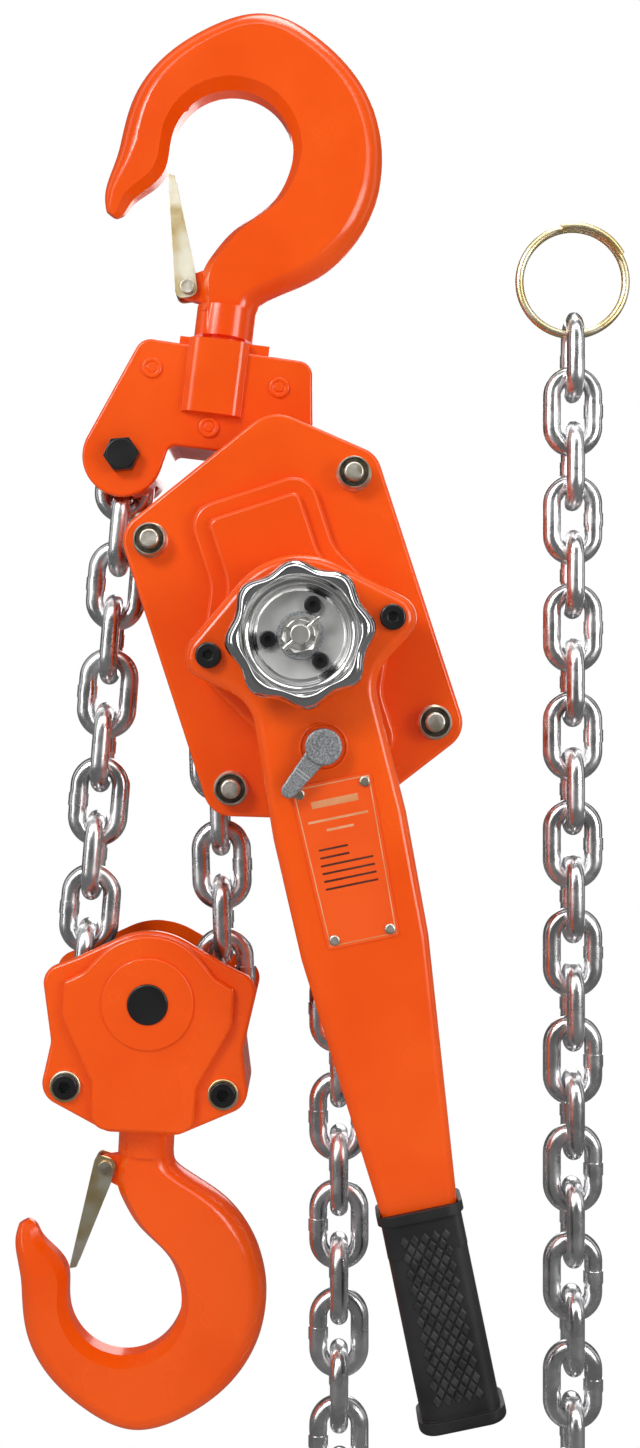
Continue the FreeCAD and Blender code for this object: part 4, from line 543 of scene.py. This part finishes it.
def finish(name, surface, low, high, bump_scale, bump, roughness, metallic=0.0, patch=30.0, coat=0.0,
           coat_roughness=0.1, shine=0.5):
    """A material whose colour drifts between two tones over its uneven surface."""
    material = bpy.data.materials.new(name + "_finish")
    material.use_nodes = True
    tree = material.node_tree
    shader = tree.nodes["Principled BSDF"]
    shader.inputs["Metallic"].default_value = metallic
    shader.inputs["Coat Weight"].default_value = coat
    shader.inputs["Coat Roughness"].default_value = coat_roughness
    shader.inputs["Specular IOR Level"].default_value = shine
    group = tree.nodes.new("ShaderNodeGroup")
    group.node_tree = surface
    group.inputs["Bump scale"].default_value = bump_scale
    group.inputs["Bump strength"].default_value = bump
    group.inputs["Patch scale"].default_value = patch
    group.inputs["Roughness low"].default_value = roughness[0]
    group.inputs["Roughness high"].default_value = roughness[1]
    tree.links.new(group.outputs["Normal"], shader.inputs["Normal"])
    tree.links.new(group.outputs["Roughness"], shader.inputs["Roughness"])
    ramp = tree.nodes.new("ShaderNodeValToRGB")
    for stop, position, tone in zip(ramp.color_ramp.elements, TONE_PLACES, (low, high)):
        stop.position = position
        stop.color = (*tone, 1.0)
    tree.links.new(group.outputs["Patches"], ramp.inputs["Fac"])
    tree.links.new(ramp.outputs["Color"], shader.inputs["Base Color"])
    return material


def finish_of(name):
    """The material that was mixed under a name."""
    return bpy.data.materials[name + "_finish"]


class HoistFinishes(bpy.types.PropertyGroup):
    paint: bpy.props.FloatVectorProperty(name="Paint", description="Colour of the painted castings",
                                         subtype="COLOR", size=3, default=(1.0, 0.105, 0.0))
    zinc: bpy.props.FloatVectorProperty(name="Yellow zinc", description="Colour of the latches and collars",
                                        subtype="COLOR", size=3, default=(0.88, 0.66, 0.28))
    chain: bpy.props.FloatVectorProperty(name="Chain", description="Colour of the load chain",
                                         subtype="COLOR", size=3, default=(0.95, 0.95, 0.96))


class HoistSizes(bpy.types.PropertyGroup):
    diamond_panel: bpy.props.FloatProperty(name="Diamond panel", description="Half the diamond panel's width",
                                           default=13.5 * MM, unit="LENGTH")
    diamond_columns: bpy.props.IntProperty(name="Diamond columns",
                                           description="Raised diamonds across the grip's panel", default=5)
    diamond_rows: bpy.props.IntProperty(name="Diamond rows",
                                        description="Raised diamonds along the grip's panel", default=11)
    camera_distance: bpy.props.FloatProperty(name="Camera distance",
                                             description="From the camera to the chain's plane",
                                             default=0.9, unit="LENGTH")


class HOIST_OT_finishes(bpy.types.Operator):
    """Mix the finishes and put them on the solids"""
    bl_idname = "hoist.finishes"
    bl_label = "Mix the finishes"

    def execute(self, context):
        tones = context.scene.hoist_finishes
        surface = surface_group()
        paint = tuple(tones.paint)
        deep = (paint[0] * DEEP_RED, paint[1] * DEEP_GREEN, paint[2])
        finish("orange_paint", surface, deep, paint, bump_scale=95.0, bump=0.10, patch=14.0,
               roughness=(0.2, 0.3), coat=0.35, coat_roughness=0.08, shine=0.35)
        finish("orange_plate", surface, deep, paint, bump_scale=300.0, bump=0.03, patch=20.0,
               roughness=(0.28, 0.36), coat=0.4, coat_roughness=0.12)
        zinc = tuple(tones.zinc)
        finish("yellow_zinc", surface, zinc, (0.84, 0.80, 0.64), metallic=1.0, bump_scale=220.0, bump=0.12,
               patch=60.0, roughness=(0.3, 0.46))
        finish("zinc_steel", surface, (0.60, 0.53, 0.38), (0.86, 0.83, 0.76), metallic=1.0, bump_scale=420.0,
               bump=0.3, patch=120.0, roughness=(0.32, 0.46))
        finish("black_steel", surface, (0.008, 0.008, 0.009), (0.014, 0.014, 0.015), bump_scale=260.0,
               bump=0.12, roughness=(0.26, 0.38), coat=0.3, shine=0.4)
        chain = tuple(tones.chain)
        dull = tuple(part * DULL_CHAIN for part in chain)
        finish("bright_chain", surface, dull, chain, metallic=1.0, bump_scale=160.0, bump=0.22, patch=90.0,
               roughness=(0.2, 0.34))
        finish("chrome_wheel", surface, (0.66, 0.66, 0.67), (0.78, 0.78, 0.79), metallic=1.0,
               bump_scale=260.0, bump=0.1, patch=40.0, roughness=(0.08, 0.2))
        finish("brushed_floor", surface, (0.66, 0.66, 0.65), (0.78, 0.78, 0.77), metallic=1.0,
               bump_scale=500.0, bump=0.08, patch=50.0, roughness=(0.4, 0.5))
        finish("bare_steel", surface, (0.72, 0.70, 0.64), (0.80, 0.79, 0.76), metallic=1.0, bump_scale=260.0,
               bump=0.2, roughness=(0.28, 0.42))
        finish("cast_sheave", surface, (0.06, 0.06, 0.06), (0.1, 0.1, 0.1), metallic=0.6, bump_scale=120.0,
               bump=0.3, roughness=(0.45, 0.6))
        finish("grey_casting", surface, (0.20, 0.21, 0.22), (0.46, 0.47, 0.48), metallic=0.6,
               bump_scale=900.0, bump=0.5, patch=1100.0, roughness=(0.38, 0.5))
        finish("brake_lining", surface, (0.07, 0.05, 0.035), (0.1, 0.07, 0.05), bump_scale=200.0, bump=0.3,
               roughness=(0.7, 0.85))
        finish("black_rubber", surface, (0.012, 0.012, 0.013), (0.02, 0.02, 0.021), bump_scale=400.0,
               bump=0.15, roughness=(0.42, 0.55))
        # Lighter rubber of the raised diamonds: partly wear on their tops, partly a painted highlight against
        # the darker rubber between them
        finish("worn_lit_rubber", surface, (0.022, 0.022, 0.023), (0.045, 0.045, 0.046), bump_scale=500.0,
               bump=0.2, patch=120.0, roughness=(0.3, 0.42))
        finish("pale_ruling", surface, (0.75, 0.30, 0.12), (0.88, 0.45, 0.25), bump_scale=300.0, bump=0.05,
               patch=60.0, roughness=(0.3, 0.4))
        finish("dark_ruling", surface, (0.06, 0.015, 0.008), (0.12, 0.03, 0.015), bump_scale=300.0, bump=0.05,
               patch=60.0, roughness=(0.4, 0.5))
        # Near-black painted shade for the ring in each stay nut's recess
        finish("recess_shade", surface, (0.05, 0.045, 0.035), (0.12, 0.1, 0.07), metallic=0.8,
               bump_scale=500.0, bump=0.4, patch=200.0, roughness=(0.35, 0.5))
        # Bright metal tone of the strips on the selector's crease: a painted highlight
        finish("crease_highlight", surface, (0.7, 0.7, 0.72), (0.85, 0.85, 0.86), metallic=0.6, bump_scale=300.0,
               bump=0.1, roughness=(0.25, 0.4))
        for node, solid in NODES.items():
            solid.data.materials.clear()
            solid.data.materials.append(finish_of(SLOT_OF[node]))
        return {"FINISHED"}


class HOIST_OT_castings(bpy.types.Operator):
    """Round the edges of the painted castings and pressings"""
    bl_idname = "hoist.castings"
    bl_label = "Ease the castings"

    def execute(self, context):
        for node, radius in CASTINGS.items():
            eased(node, "fine_" + node, radius, finish_of(SLOT_OF[node]))
        return {"FINISHED"}


class HOIST_OT_hooks(bpy.types.Operator):
    """Smooth the forged hooks and their latches"""
    bl_idname = "hoist.hooks"
    bl_label = "Smooth the hooks"

    def execute(self, context):
        for node, radius in FORGINGS.items():
            eased(node, "forged_" + node, radius, finish_of(SLOT_OF[node]), SOFT_SHADING)
        for node, radius in LATCHES.items():
            eased(node, "bent_" + node, radius, finish_of(SLOT_OF[node]))
        return {"FINISHED"}


class HOIST_OT_chain(bpy.types.Operator):
    """Smooth the load chain's links and the end ring"""
    bl_idname = "hoist.chain"
    bl_label = "Smooth the chain"

    def execute(self, context):
        for node in (*CHAIN_RUNS, "end_ring"):
            piece = merged_copy(node, "bright_" + node)
            bpy.ops.object.shade_smooth_by_angle(angle=ROUND_SHADING)
            seat(piece, BODY_OF[node], SLOT_OF[node], finish_of(SLOT_OF[node]), node)
        return {"FINISHED"}


class HOIST_OT_hardware(bpy.types.Operator):
    """Ease the edges of the bolts, nuts, pins and collars"""
    bl_idname = "hoist.hardware"
    bl_label = "Ease the hardware"

    def execute(self, context):
        for node, radius in HARDWARE.items():
            eased(node, "turned_" + node, radius, finish_of(SLOT_OF[node]))
        return {"FINISHED"}


class HOIST_OT_hand_wheel(bpy.types.Operator):
    """Turn the chromed hand wheel, with its rolled and waved rim, and the washer under its nut"""
    bl_idname = "hoist.hand_wheel"
    bl_label = "Turn the hand wheel"

    def execute(self, context):
        wheel = turned_ring("chromed_hand_wheel", WHEEL_SECTION, WHEEL_STEPS)
        wave_rim(wheel)
        add_modifier(wheel, "SUBSURF", levels=1, render_levels=1)
        smoothed(wheel, ROUND_SHADING)
        seat(wheel, BODY_OF["hand_wheel"], "chrome_wheel", finish_of("chrome_wheel"), "hand_wheel")
        floor = turned_ring("wheel_floor", FLOOR_SECTION, WHEEL_STEPS)
        smoothed(floor, CRISP_SHADING)
        seat(floor, BODY_OF["hand_wheel"], "chrome_wheel", finish_of("brushed_floor"))
        washer = turned_ring("wheel_washer", WASHER_SECTION, RING_STEPS)
        smoothed(washer, CRISP_SHADING)
        seat(washer, BODY_OF["hand_wheel"], "bare_steel", finish_of("grey_casting"))
        return {"FINISHED"}


def grip_cuff():
    """The thick ring at the grip's upper end: a box with its long edges well rounded."""
    clear_selection()
    top, bottom = CUFF_SPAN
    middle = on_lever(0.0, (top + bottom) / 2.0, sum(GRIP_FACES) / 2.0)
    bpy.ops.mesh.primitive_cube_add(size=1.0, location=middle, rotation=(0.0, LEVER_TILT, 0.0))
    cuff = bpy.context.object
    cuff.name = "grip_cuff"
    cuff.scale = (CUFF_WIDTH * MM, CUFF_DEPTH * MM, (top - bottom) * MM)
    bpy.ops.object.transform_apply(location=True, rotation=True, scale=True)
    along = (on_lever(0.0, 1.0, 0.0) - on_lever(0.0, 0.0, 0.0)).normalized()
    corners = cuff.data.vertices

    def runs_along(edge):
        first, last = edge.vertices
        return abs((corners[first].co - corners[last].co).normalized().dot(along)) > PARALLEL

    select_where(cuff, "EDGE", runs_along)
    bpy.ops.mesh.bevel(offset=CUFF_CORNER * MM, segments=6)
    bpy.ops.object.mode_set(mode="OBJECT")
    round_edges(cuff, CUFF_EDGE, CUFF_EDGE_ANGLE)
    smoothed(cuff, CRISP_SHADING)
    return cuff


def raised_diamond(name, u, w, face, outward, across, along):
    """One diamond on a broad face of the grip, with a smaller crown raised on its top."""
    clear_selection()
    bpy.ops.mesh.primitive_cone_add(vertices=4, radius1=across * DIAMOND_FOOT * MM,
                                    radius2=across * DIAMOND_TOP * MM, depth=DIAMOND_HEIGHT * MM)
    diamond = bpy.context.object
    diamond.name = name
    diamond.rotation_euler = (math.radians(-90.0 * outward), LEVER_TILT, 0.0)
    diamond.scale = (1.0, along / across, 1.0)
    diamond.location = on_lever(u, w, face + outward * DIAMOND_HEIGHT * DIAMOND_SEAT)
    bpy.ops.object.transform_apply(location=True, rotation=True, scale=True)
    top = max(outward * vertex.co.y for vertex in diamond.data.vertices)
    select_where(diamond, "FACE", lambda part: outward * part.center.y > top - MERGE_REACH)
    bpy.ops.mesh.inset(thickness=across * CROWN_INSET * MM, depth=DIAMOND_HEIGHT * CROWN_RISE * MM)
    bpy.ops.object.mode_set(mode="OBJECT")
    return diamond


def diamond_lattice(name, face, outward, sizes):
    """Diamonds in rows over a broad face of the grip, with a second set between the first."""
    columns, rows = sizes.diamond_columns, sizes.diamond_rows
    half = sizes.diamond_panel / MM
    across = 2.0 * half / columns
    along = (GRIP_PANEL[0] - GRIP_PANEL[1]) / rows
    origin = on_lever(0.0, 0.0, 0.0)
    sideways = on_lever(across, 0.0, 0.0) - origin
    down = on_lever(0.0, -along, 0.0) - origin
    grids = []
    for offset, lines, ranks in ((0.0, columns, rows), (0.5, columns - 1, rows - 1)):
        u = (offset + 0.5) * across - half
        w = GRIP_PANEL[0] - (offset + 0.5) * along
        diamond = raised_diamond(name, u, w, face, outward, across, along)
        for count, step in ((lines, sideways), (ranks, down)):
            add_modifier(diamond, "ARRAY", count=count, use_relative_offset=False, use_constant_offset=True,
                         constant_offset_displace=step)
        grids.append(diamond)
    return joined(grids, name)


class HOIST_OT_grip(bpy.types.Operator):
    """Ease the rubber grip, close it with its cuff and raise the diamonds on its two broad faces"""
    bl_idname = "hoist.grip"
    bl_label = "Raise the grip's diamonds"

    def execute(self, context):
        eased("lever_grip", "moulded_grip", GRIP_EDGE, finish_of("black_rubber"), SOFT_SHADING)
        seat(grip_cuff(), BODY_OF["lever_grip"], "black_rubber", finish_of("black_rubber"))
        for side, face, outward in (("front", GRIP_FACES[0], -1.0), ("rear", GRIP_FACES[1], 1.0)):
            lattice = diamond_lattice(side + "_diamonds", face, outward, context.scene.hoist_sizes)
            # The diamonds take the lighter rubber, which is partly wear and partly painted highlight
            seat(lattice, BODY_OF["lever_grip"], "black_rubber", finish_of("worn_lit_rubber"))
        return {"FINISHED"}


class HOIST_OT_nameplate(bpy.types.Operator):
    """Ease the nameplate, and lay its border line and blank rows"""
    bl_idname = "hoist.nameplate"
    bl_label = "Rule the nameplate"

    def execute(self, context):
        eased("nameplate", "ruled_nameplate", PLATE_EDGE, finish_of("orange_plate"))
        (top, top_half), (bottom, bottom_half) = PLATE_TOP, PLATE_BOTTOM
        middle = (top + bottom) / 2.0
        length = top - bottom - 2.0 * BORDER_MARGIN
        lean = math.asin((top_half - bottom_half) / length)
        half = (top_half + bottom_half) / 2.0 - BORDER_MARGIN
        sides = (
            (0.0, top - BORDER_MARGIN, 2.0 * (top_half - BORDER_MARGIN), BORDER_WIDTH, 0.0),
            (0.0, bottom + BORDER_MARGIN, 2.0 * (bottom_half - BORDER_MARGIN), BORDER_WIDTH, 0.0),
            (-half, middle, BORDER_WIDTH, length, -lean),
            (half, middle, BORDER_WIDTH, length, lean),
        )
        face = PLATE_FACE - ROW_PROUD
        strips = [laid_strip("plate_border", u, w, face, wide, high, ROW_THICKNESS, BORDER_CORNER, turn)
                  for u, w, wide, high, turn in sides]
        seat(joined(strips, "plate_border"), BODY_OF["nameplate"], "orange_plate", finish_of("pale_ruling"))
        for tone, rows in (("pale", PALE_ROWS), ("dark", DARK_ROWS)):
            name = tone + "_rows"
            strips = [laid_strip(name, u, w, face, wide, high, ROW_THICKNESS, ROW_CORNER)
                      for u, w, wide, high in rows]
            seat(joined(strips, name), BODY_OF["nameplate"], "orange_plate", finish_of(tone + "_ruling"))
        return {"FINISHED"}


def rings_at_stays(name, section, base, outward):
    """A turned ring at each stay, with its section's rises counted outwards from a depth."""
    spots = [Vector((x, 0.0, z)) * MM for x, z in STAY_SPOTS]
    turned = [(radius, base + outward * rise) for radius, rise in section]
    ring = turned_ring(name, turned, NUT_STEPS, spots[0])
    smoothed(ring, CRISP_SHADING)
    return copied_to(ring, spots)


class HOIST_OT_nuts(bpy.types.Operator):
    """Turn the flanged stay nuts on both sides, with a dark ring of painted shade in the recess round each
    bolt's end
    """
    bl_idname = "hoist.nuts"
    bl_label = "Turn the stay nuts"

    def execute(self, context):
        for side, base, outward in NUT_SEATS:
            node = "stay_nuts_" + side
            nuts = rings_at_stays(side + "_nuts", NUT_SECTION, base, outward)
            seat(nuts, BODY_OF[node], "zinc_steel", finish_of("zinc_steel"), node)
            shade_rings = rings_at_stays(side + "_nut_shade_rings", SHADE_RING_SECTION, base, outward)
            seat(shade_rings, BODY_OF[node], "zinc_steel", finish_of("recess_shade"))
        return {"FINISHED"}


class HOIST_OT_rivets(bpy.types.Operator):
    """Set the yoke's rivet heads, each with a shallow pressed ring"""
    bl_idname = "hoist.rivets"
    bl_label = "Set the yoke's rivets"

    def execute(self, context):
        rivets = merged_copy("yoke_rivets", "set_yoke_rivets")
        for depth in (-RIVET_FACE, RIVET_FACE):
            stepped_faces(rivets, depth * MM, RIVET_AREA * MM * MM, RIVET_STEPS)
        round_edges(rivets, RIVET_EDGE)
        smoothed(rivets, CRISP_SHADING)
        seat(rivets, BODY_OF["yoke_rivets"], "orange_paint", finish_of("orange_paint"), "yoke_rivets")
        return {"FINISHED"}


class HOIST_OT_selector(bpy.types.Operator):
    """Ease the cast selector, with bright strips of painted highlight along the crease across its arm, and
    the ring round its boss
    """
    bl_idname = "hoist.selector"
    bl_label = "Cast the selector"

    def execute(self, context):
        eased("selector_knob", "cast_selector", SELECTOR_EDGE, finish_of("grey_casting"))
        creases = []
        face = ARM_FACE - CREASE_PROUD
        for reach in CREASE_REACHES:
            u = SELECTOR_AT[0] + reach * math.cos(SELECTOR_ARM)
            w = SELECTOR_AT[1] + reach * math.sin(SELECTOR_ARM)
            creases.append(laid_strip("selector_crease_highlights", u, w, face, CREASE_WIDTH, ARM_WIDTH,
                                      CREASE_THICKNESS, CREASE_CORNER, -SELECTOR_ARM))
        crossing = joined(creases, "selector_crease_highlights")
        seat(crossing, BODY_OF["selector_knob"], "grey_casting", finish_of("crease_highlight"))
        ring = turned_ring("boss_ring", BOSS_SECTION, RING_STEPS, on_lever(*SELECTOR_AT, 0.0))
        smoothed(ring, ROUND_SHADING)
        seat(ring, BODY_OF["lever_front_shell"], "orange_paint", finish_of("orange_paint"))
        return {"FINISHED"}


def pale_floor():
    """White to the camera, a plain pale grey to the light, and dusky in the gloss of the metal."""
    cover = bpy.data.materials.new("pale_floor")
    cover.use_nodes = True
    tree = cover.node_tree
    shader = tree.nodes["Principled BSDF"]
    shader.inputs["Base Color"].default_value = FLOOR_TONE
    shader.inputs["Roughness"].default_value = FLOOR_ROUGHNESS
    glow = tree.nodes.new("ShaderNodeEmission")
    dusk = tree.nodes.new("ShaderNodeEmission")
    dusk.inputs["Strength"].default_value = FLOOR_DUSK
    path = tree.nodes.new("ShaderNodeLightPath")
    mirrored = tree.nodes.new("ShaderNodeMixShader")
    tree.links.new(path.outputs["Is Glossy Ray"], mirrored.inputs[0])
    tree.links.new(shader.outputs[0], mirrored.inputs[1])
    tree.links.new(dusk.outputs[0], mirrored.inputs[2])
    choice = tree.nodes.new("ShaderNodeMixShader")
    tree.links.new(path.outputs["Is Camera Ray"], choice.inputs[0])
    tree.links.new(mirrored.outputs[0], choice.inputs[1])
    tree.links.new(glow.outputs[0], choice.inputs[2])
    tree.links.new(choice.outputs[0], tree.nodes["Material Output"].inputs["Surface"])
    return cover


def studio_light(scene):
    """A white backdrop and a soft light, with a room of dark and bright bands for the gloss to mirror."""
    world = bpy.data.worlds.new("studio")
    scene.world = world
    world.use_nodes = True
    tree = world.node_tree
    base = tree.nodes["Background"]
    base.inputs["Color"].default_value = SKY_TONE
    base.inputs["Strength"].default_value = SKY_STRENGTH
    white = tree.nodes.new("ShaderNodeBackground")
    white.inputs["Color"].default_value = (1.0, 1.0, 1.0, 1.0)
    room = tree.nodes.new("ShaderNodeBackground")
    room.inputs["Strength"].default_value = ROOM_STRENGTH
    place = tree.nodes.new("ShaderNodeTexCoord")
    uneven = tree.nodes.new("ShaderNodeTexNoise")
    uneven.inputs["Scale"].default_value = ROOM_PATCHES
    tree.links.new(place.outputs["Generated"], uneven.inputs["Vector"])
    axes = tree.nodes.new("ShaderNodeSeparateXYZ")
    tree.links.new(place.outputs["Generated"], axes.inputs["Vector"])
    drift = tree.nodes.new("ShaderNodeMath")
    drift.operation = "MULTIPLY_ADD"
    drift.inputs[1].default_value = ROOM_DRIFT
    tree.links.new(uneven.outputs["Fac"], drift.inputs[0])
    tree.links.new(axes.outputs["Y"], drift.inputs[2])
    spread = tree.nodes.new("ShaderNodeMapRange")
    spread.inputs["From Min"].default_value, spread.inputs["From Max"].default_value = ROOM_REACH
    tree.links.new(drift.outputs[0], spread.inputs["Value"])
    ramp = tree.nodes.new("ShaderNodeValToRGB")
    stops = ramp.color_ramp.elements
    for stop, (position, tone) in ((stops[0], ROOM_TONES[0]), (stops[1], ROOM_TONES[-1])):
        stop.position = position
        stop.color = (tone, tone, tone, 1.0)
    for position, tone in ROOM_TONES[1:-1]:
        stops.new(position).color = (tone, tone, tone, 1.0)
    tree.links.new(spread.outputs["Result"], ramp.inputs["Fac"])
    tree.links.new(ramp.outputs["Color"], room.inputs["Color"])
    path = tree.nodes.new("ShaderNodeLightPath")
    mirrored = tree.nodes.new("ShaderNodeMixShader")
    tree.links.new(path.outputs["Is Glossy Ray"], mirrored.inputs[0])
    tree.links.new(base.outputs[0], mirrored.inputs[1])
    tree.links.new(room.outputs[0], mirrored.inputs[2])
    seen = tree.nodes.new("ShaderNodeMixShader")
    tree.links.new(path.outputs["Is Camera Ray"], seen.inputs[0])
    tree.links.new(mirrored.outputs[0], seen.inputs[1])
    tree.links.new(white.outputs[0], seen.inputs[2])
    tree.links.new(seen.outputs[0], tree.nodes["World Output"].inputs["Surface"])


def lay_floor():
    """A broad plain floor a little below the hoist."""
    clear_selection()
    low = CAD_BOX[0][2]
    bpy.ops.mesh.primitive_plane_add(size=FLOOR_SIZE, location=(FLOOR_MIDDLE, 0.0, low - FLOOR_DROP))
    floor = bpy.context.object
    floor.name = "floor"
    floor.data.materials.append(pale_floor())


def set_camera(scene, distance):
    """A camera that looks square at the hoist, with a known scale in the chain's plane."""
    camera = bpy.data.cameras.new("camera")
    camera.sensor_width = CAMERA_SENSOR
    camera.lens = camera.sensor_width * distance / (IMAGE_LONG_SIDE / PIXELS_PER_MM * MM)
    eye = bpy.data.objects.new("camera", camera)
    eye.location = (CAMERA_AT[0] * MM, -distance, CAMERA_AT[1] * MM)
    eye.rotation_euler = (math.radians(90.0), 0.0, 0.0)
    scene.collection.objects.link(eye)
    scene.camera = eye


def hang_lamps(scene):
    """Soft lamps round the hoist, all turned to its middle."""
    for name, spot, size, power in LAMPS:
        lamp = bpy.data.lights.new(name, "AREA")
        lamp.size = size
        lamp.energy = power
        holder = bpy.data.objects.new(name, lamp)
        holder.location = spot
        holder.rotation_euler = (LAMP_AIM - Vector(spot)).to_track_quat("-Z", "Y").to_euler()
        scene.collection.objects.link(holder)


class HOIST_OT_stage(bpy.types.Operator):
    """Set the camera, the lamps, the floor and the studio's light"""
    bl_idname = "hoist.stage"
    bl_label = "Set the stage"

    def execute(self, context):
        scene = context.scene
        lay_floor()
        set_camera(scene, scene.hoist_sizes.camera_distance)
        hang_lamps(scene)
        studio_light(scene)
        scene.view_settings.view_transform = "Standard"
        return {"FINISHED"}


class HOIST_PT_panel(bpy.types.Panel):
    """Lists the steps that dress the hoist"""
    bl_idname = "HOIST_PT_panel"
    bl_label = "Lever chain hoist"
    bl_space_type = "VIEW_3D"
    bl_region_type = "UI"
    bl_category = "Hoist"

    def draw(self, context):
        column = self.layout.column()
        for settings in (context.scene.hoist_sizes, context.scene.hoist_finishes):
            for name in settings.__annotations__:
                column.prop(settings, name)
        for step in STEPS:
            column.operator(step.bl_idname)


STEPS = (
    HOIST_OT_finishes,
    HOIST_OT_castings,
    HOIST_OT_hooks,
    HOIST_OT_chain,
    HOIST_OT_hardware,
    HOIST_OT_hand_wheel,
    HOIST_OT_grip,
    HOIST_OT_nameplate,
    HOIST_OT_nuts,
    HOIST_OT_rivets,
    HOIST_OT_selector,
    HOIST_OT_stage,
)
CLASSES = (HoistSizes, HoistFinishes, *STEPS, HOIST_PT_panel)


def register():
    for made in CLASSES:
        bpy.utils.register_class(made)
    bpy.types.Scene.hoist_sizes = bpy.props.PointerProperty(type=HoistSizes)
    bpy.types.Scene.hoist_finishes = bpy.props.PointerProperty(type=HoistFinishes)


def unregister():
    del bpy.types.Scene.hoist_finishes
    del bpy.types.Scene.hoist_sizes
    for made in reversed(CLASSES):
        bpy.utils.unregister_class(made)


def main():
    register()
    bpy.ops.hoist.finishes()
    bpy.ops.hoist.castings()
    bpy.ops.hoist.hooks()
    bpy.ops.hoist.chain()
    bpy.ops.hoist.hardware()
    bpy.ops.hoist.hand_wheel()
    bpy.ops.hoist.grip()
    bpy.ops.hoist.nameplate()
    bpy.ops.hoist.nuts()
    bpy.ops.hoist.rivets()
    bpy.ops.hoist.selector()
    bpy.ops.hoist.stage()


if __name__ == "__main__":
    main()
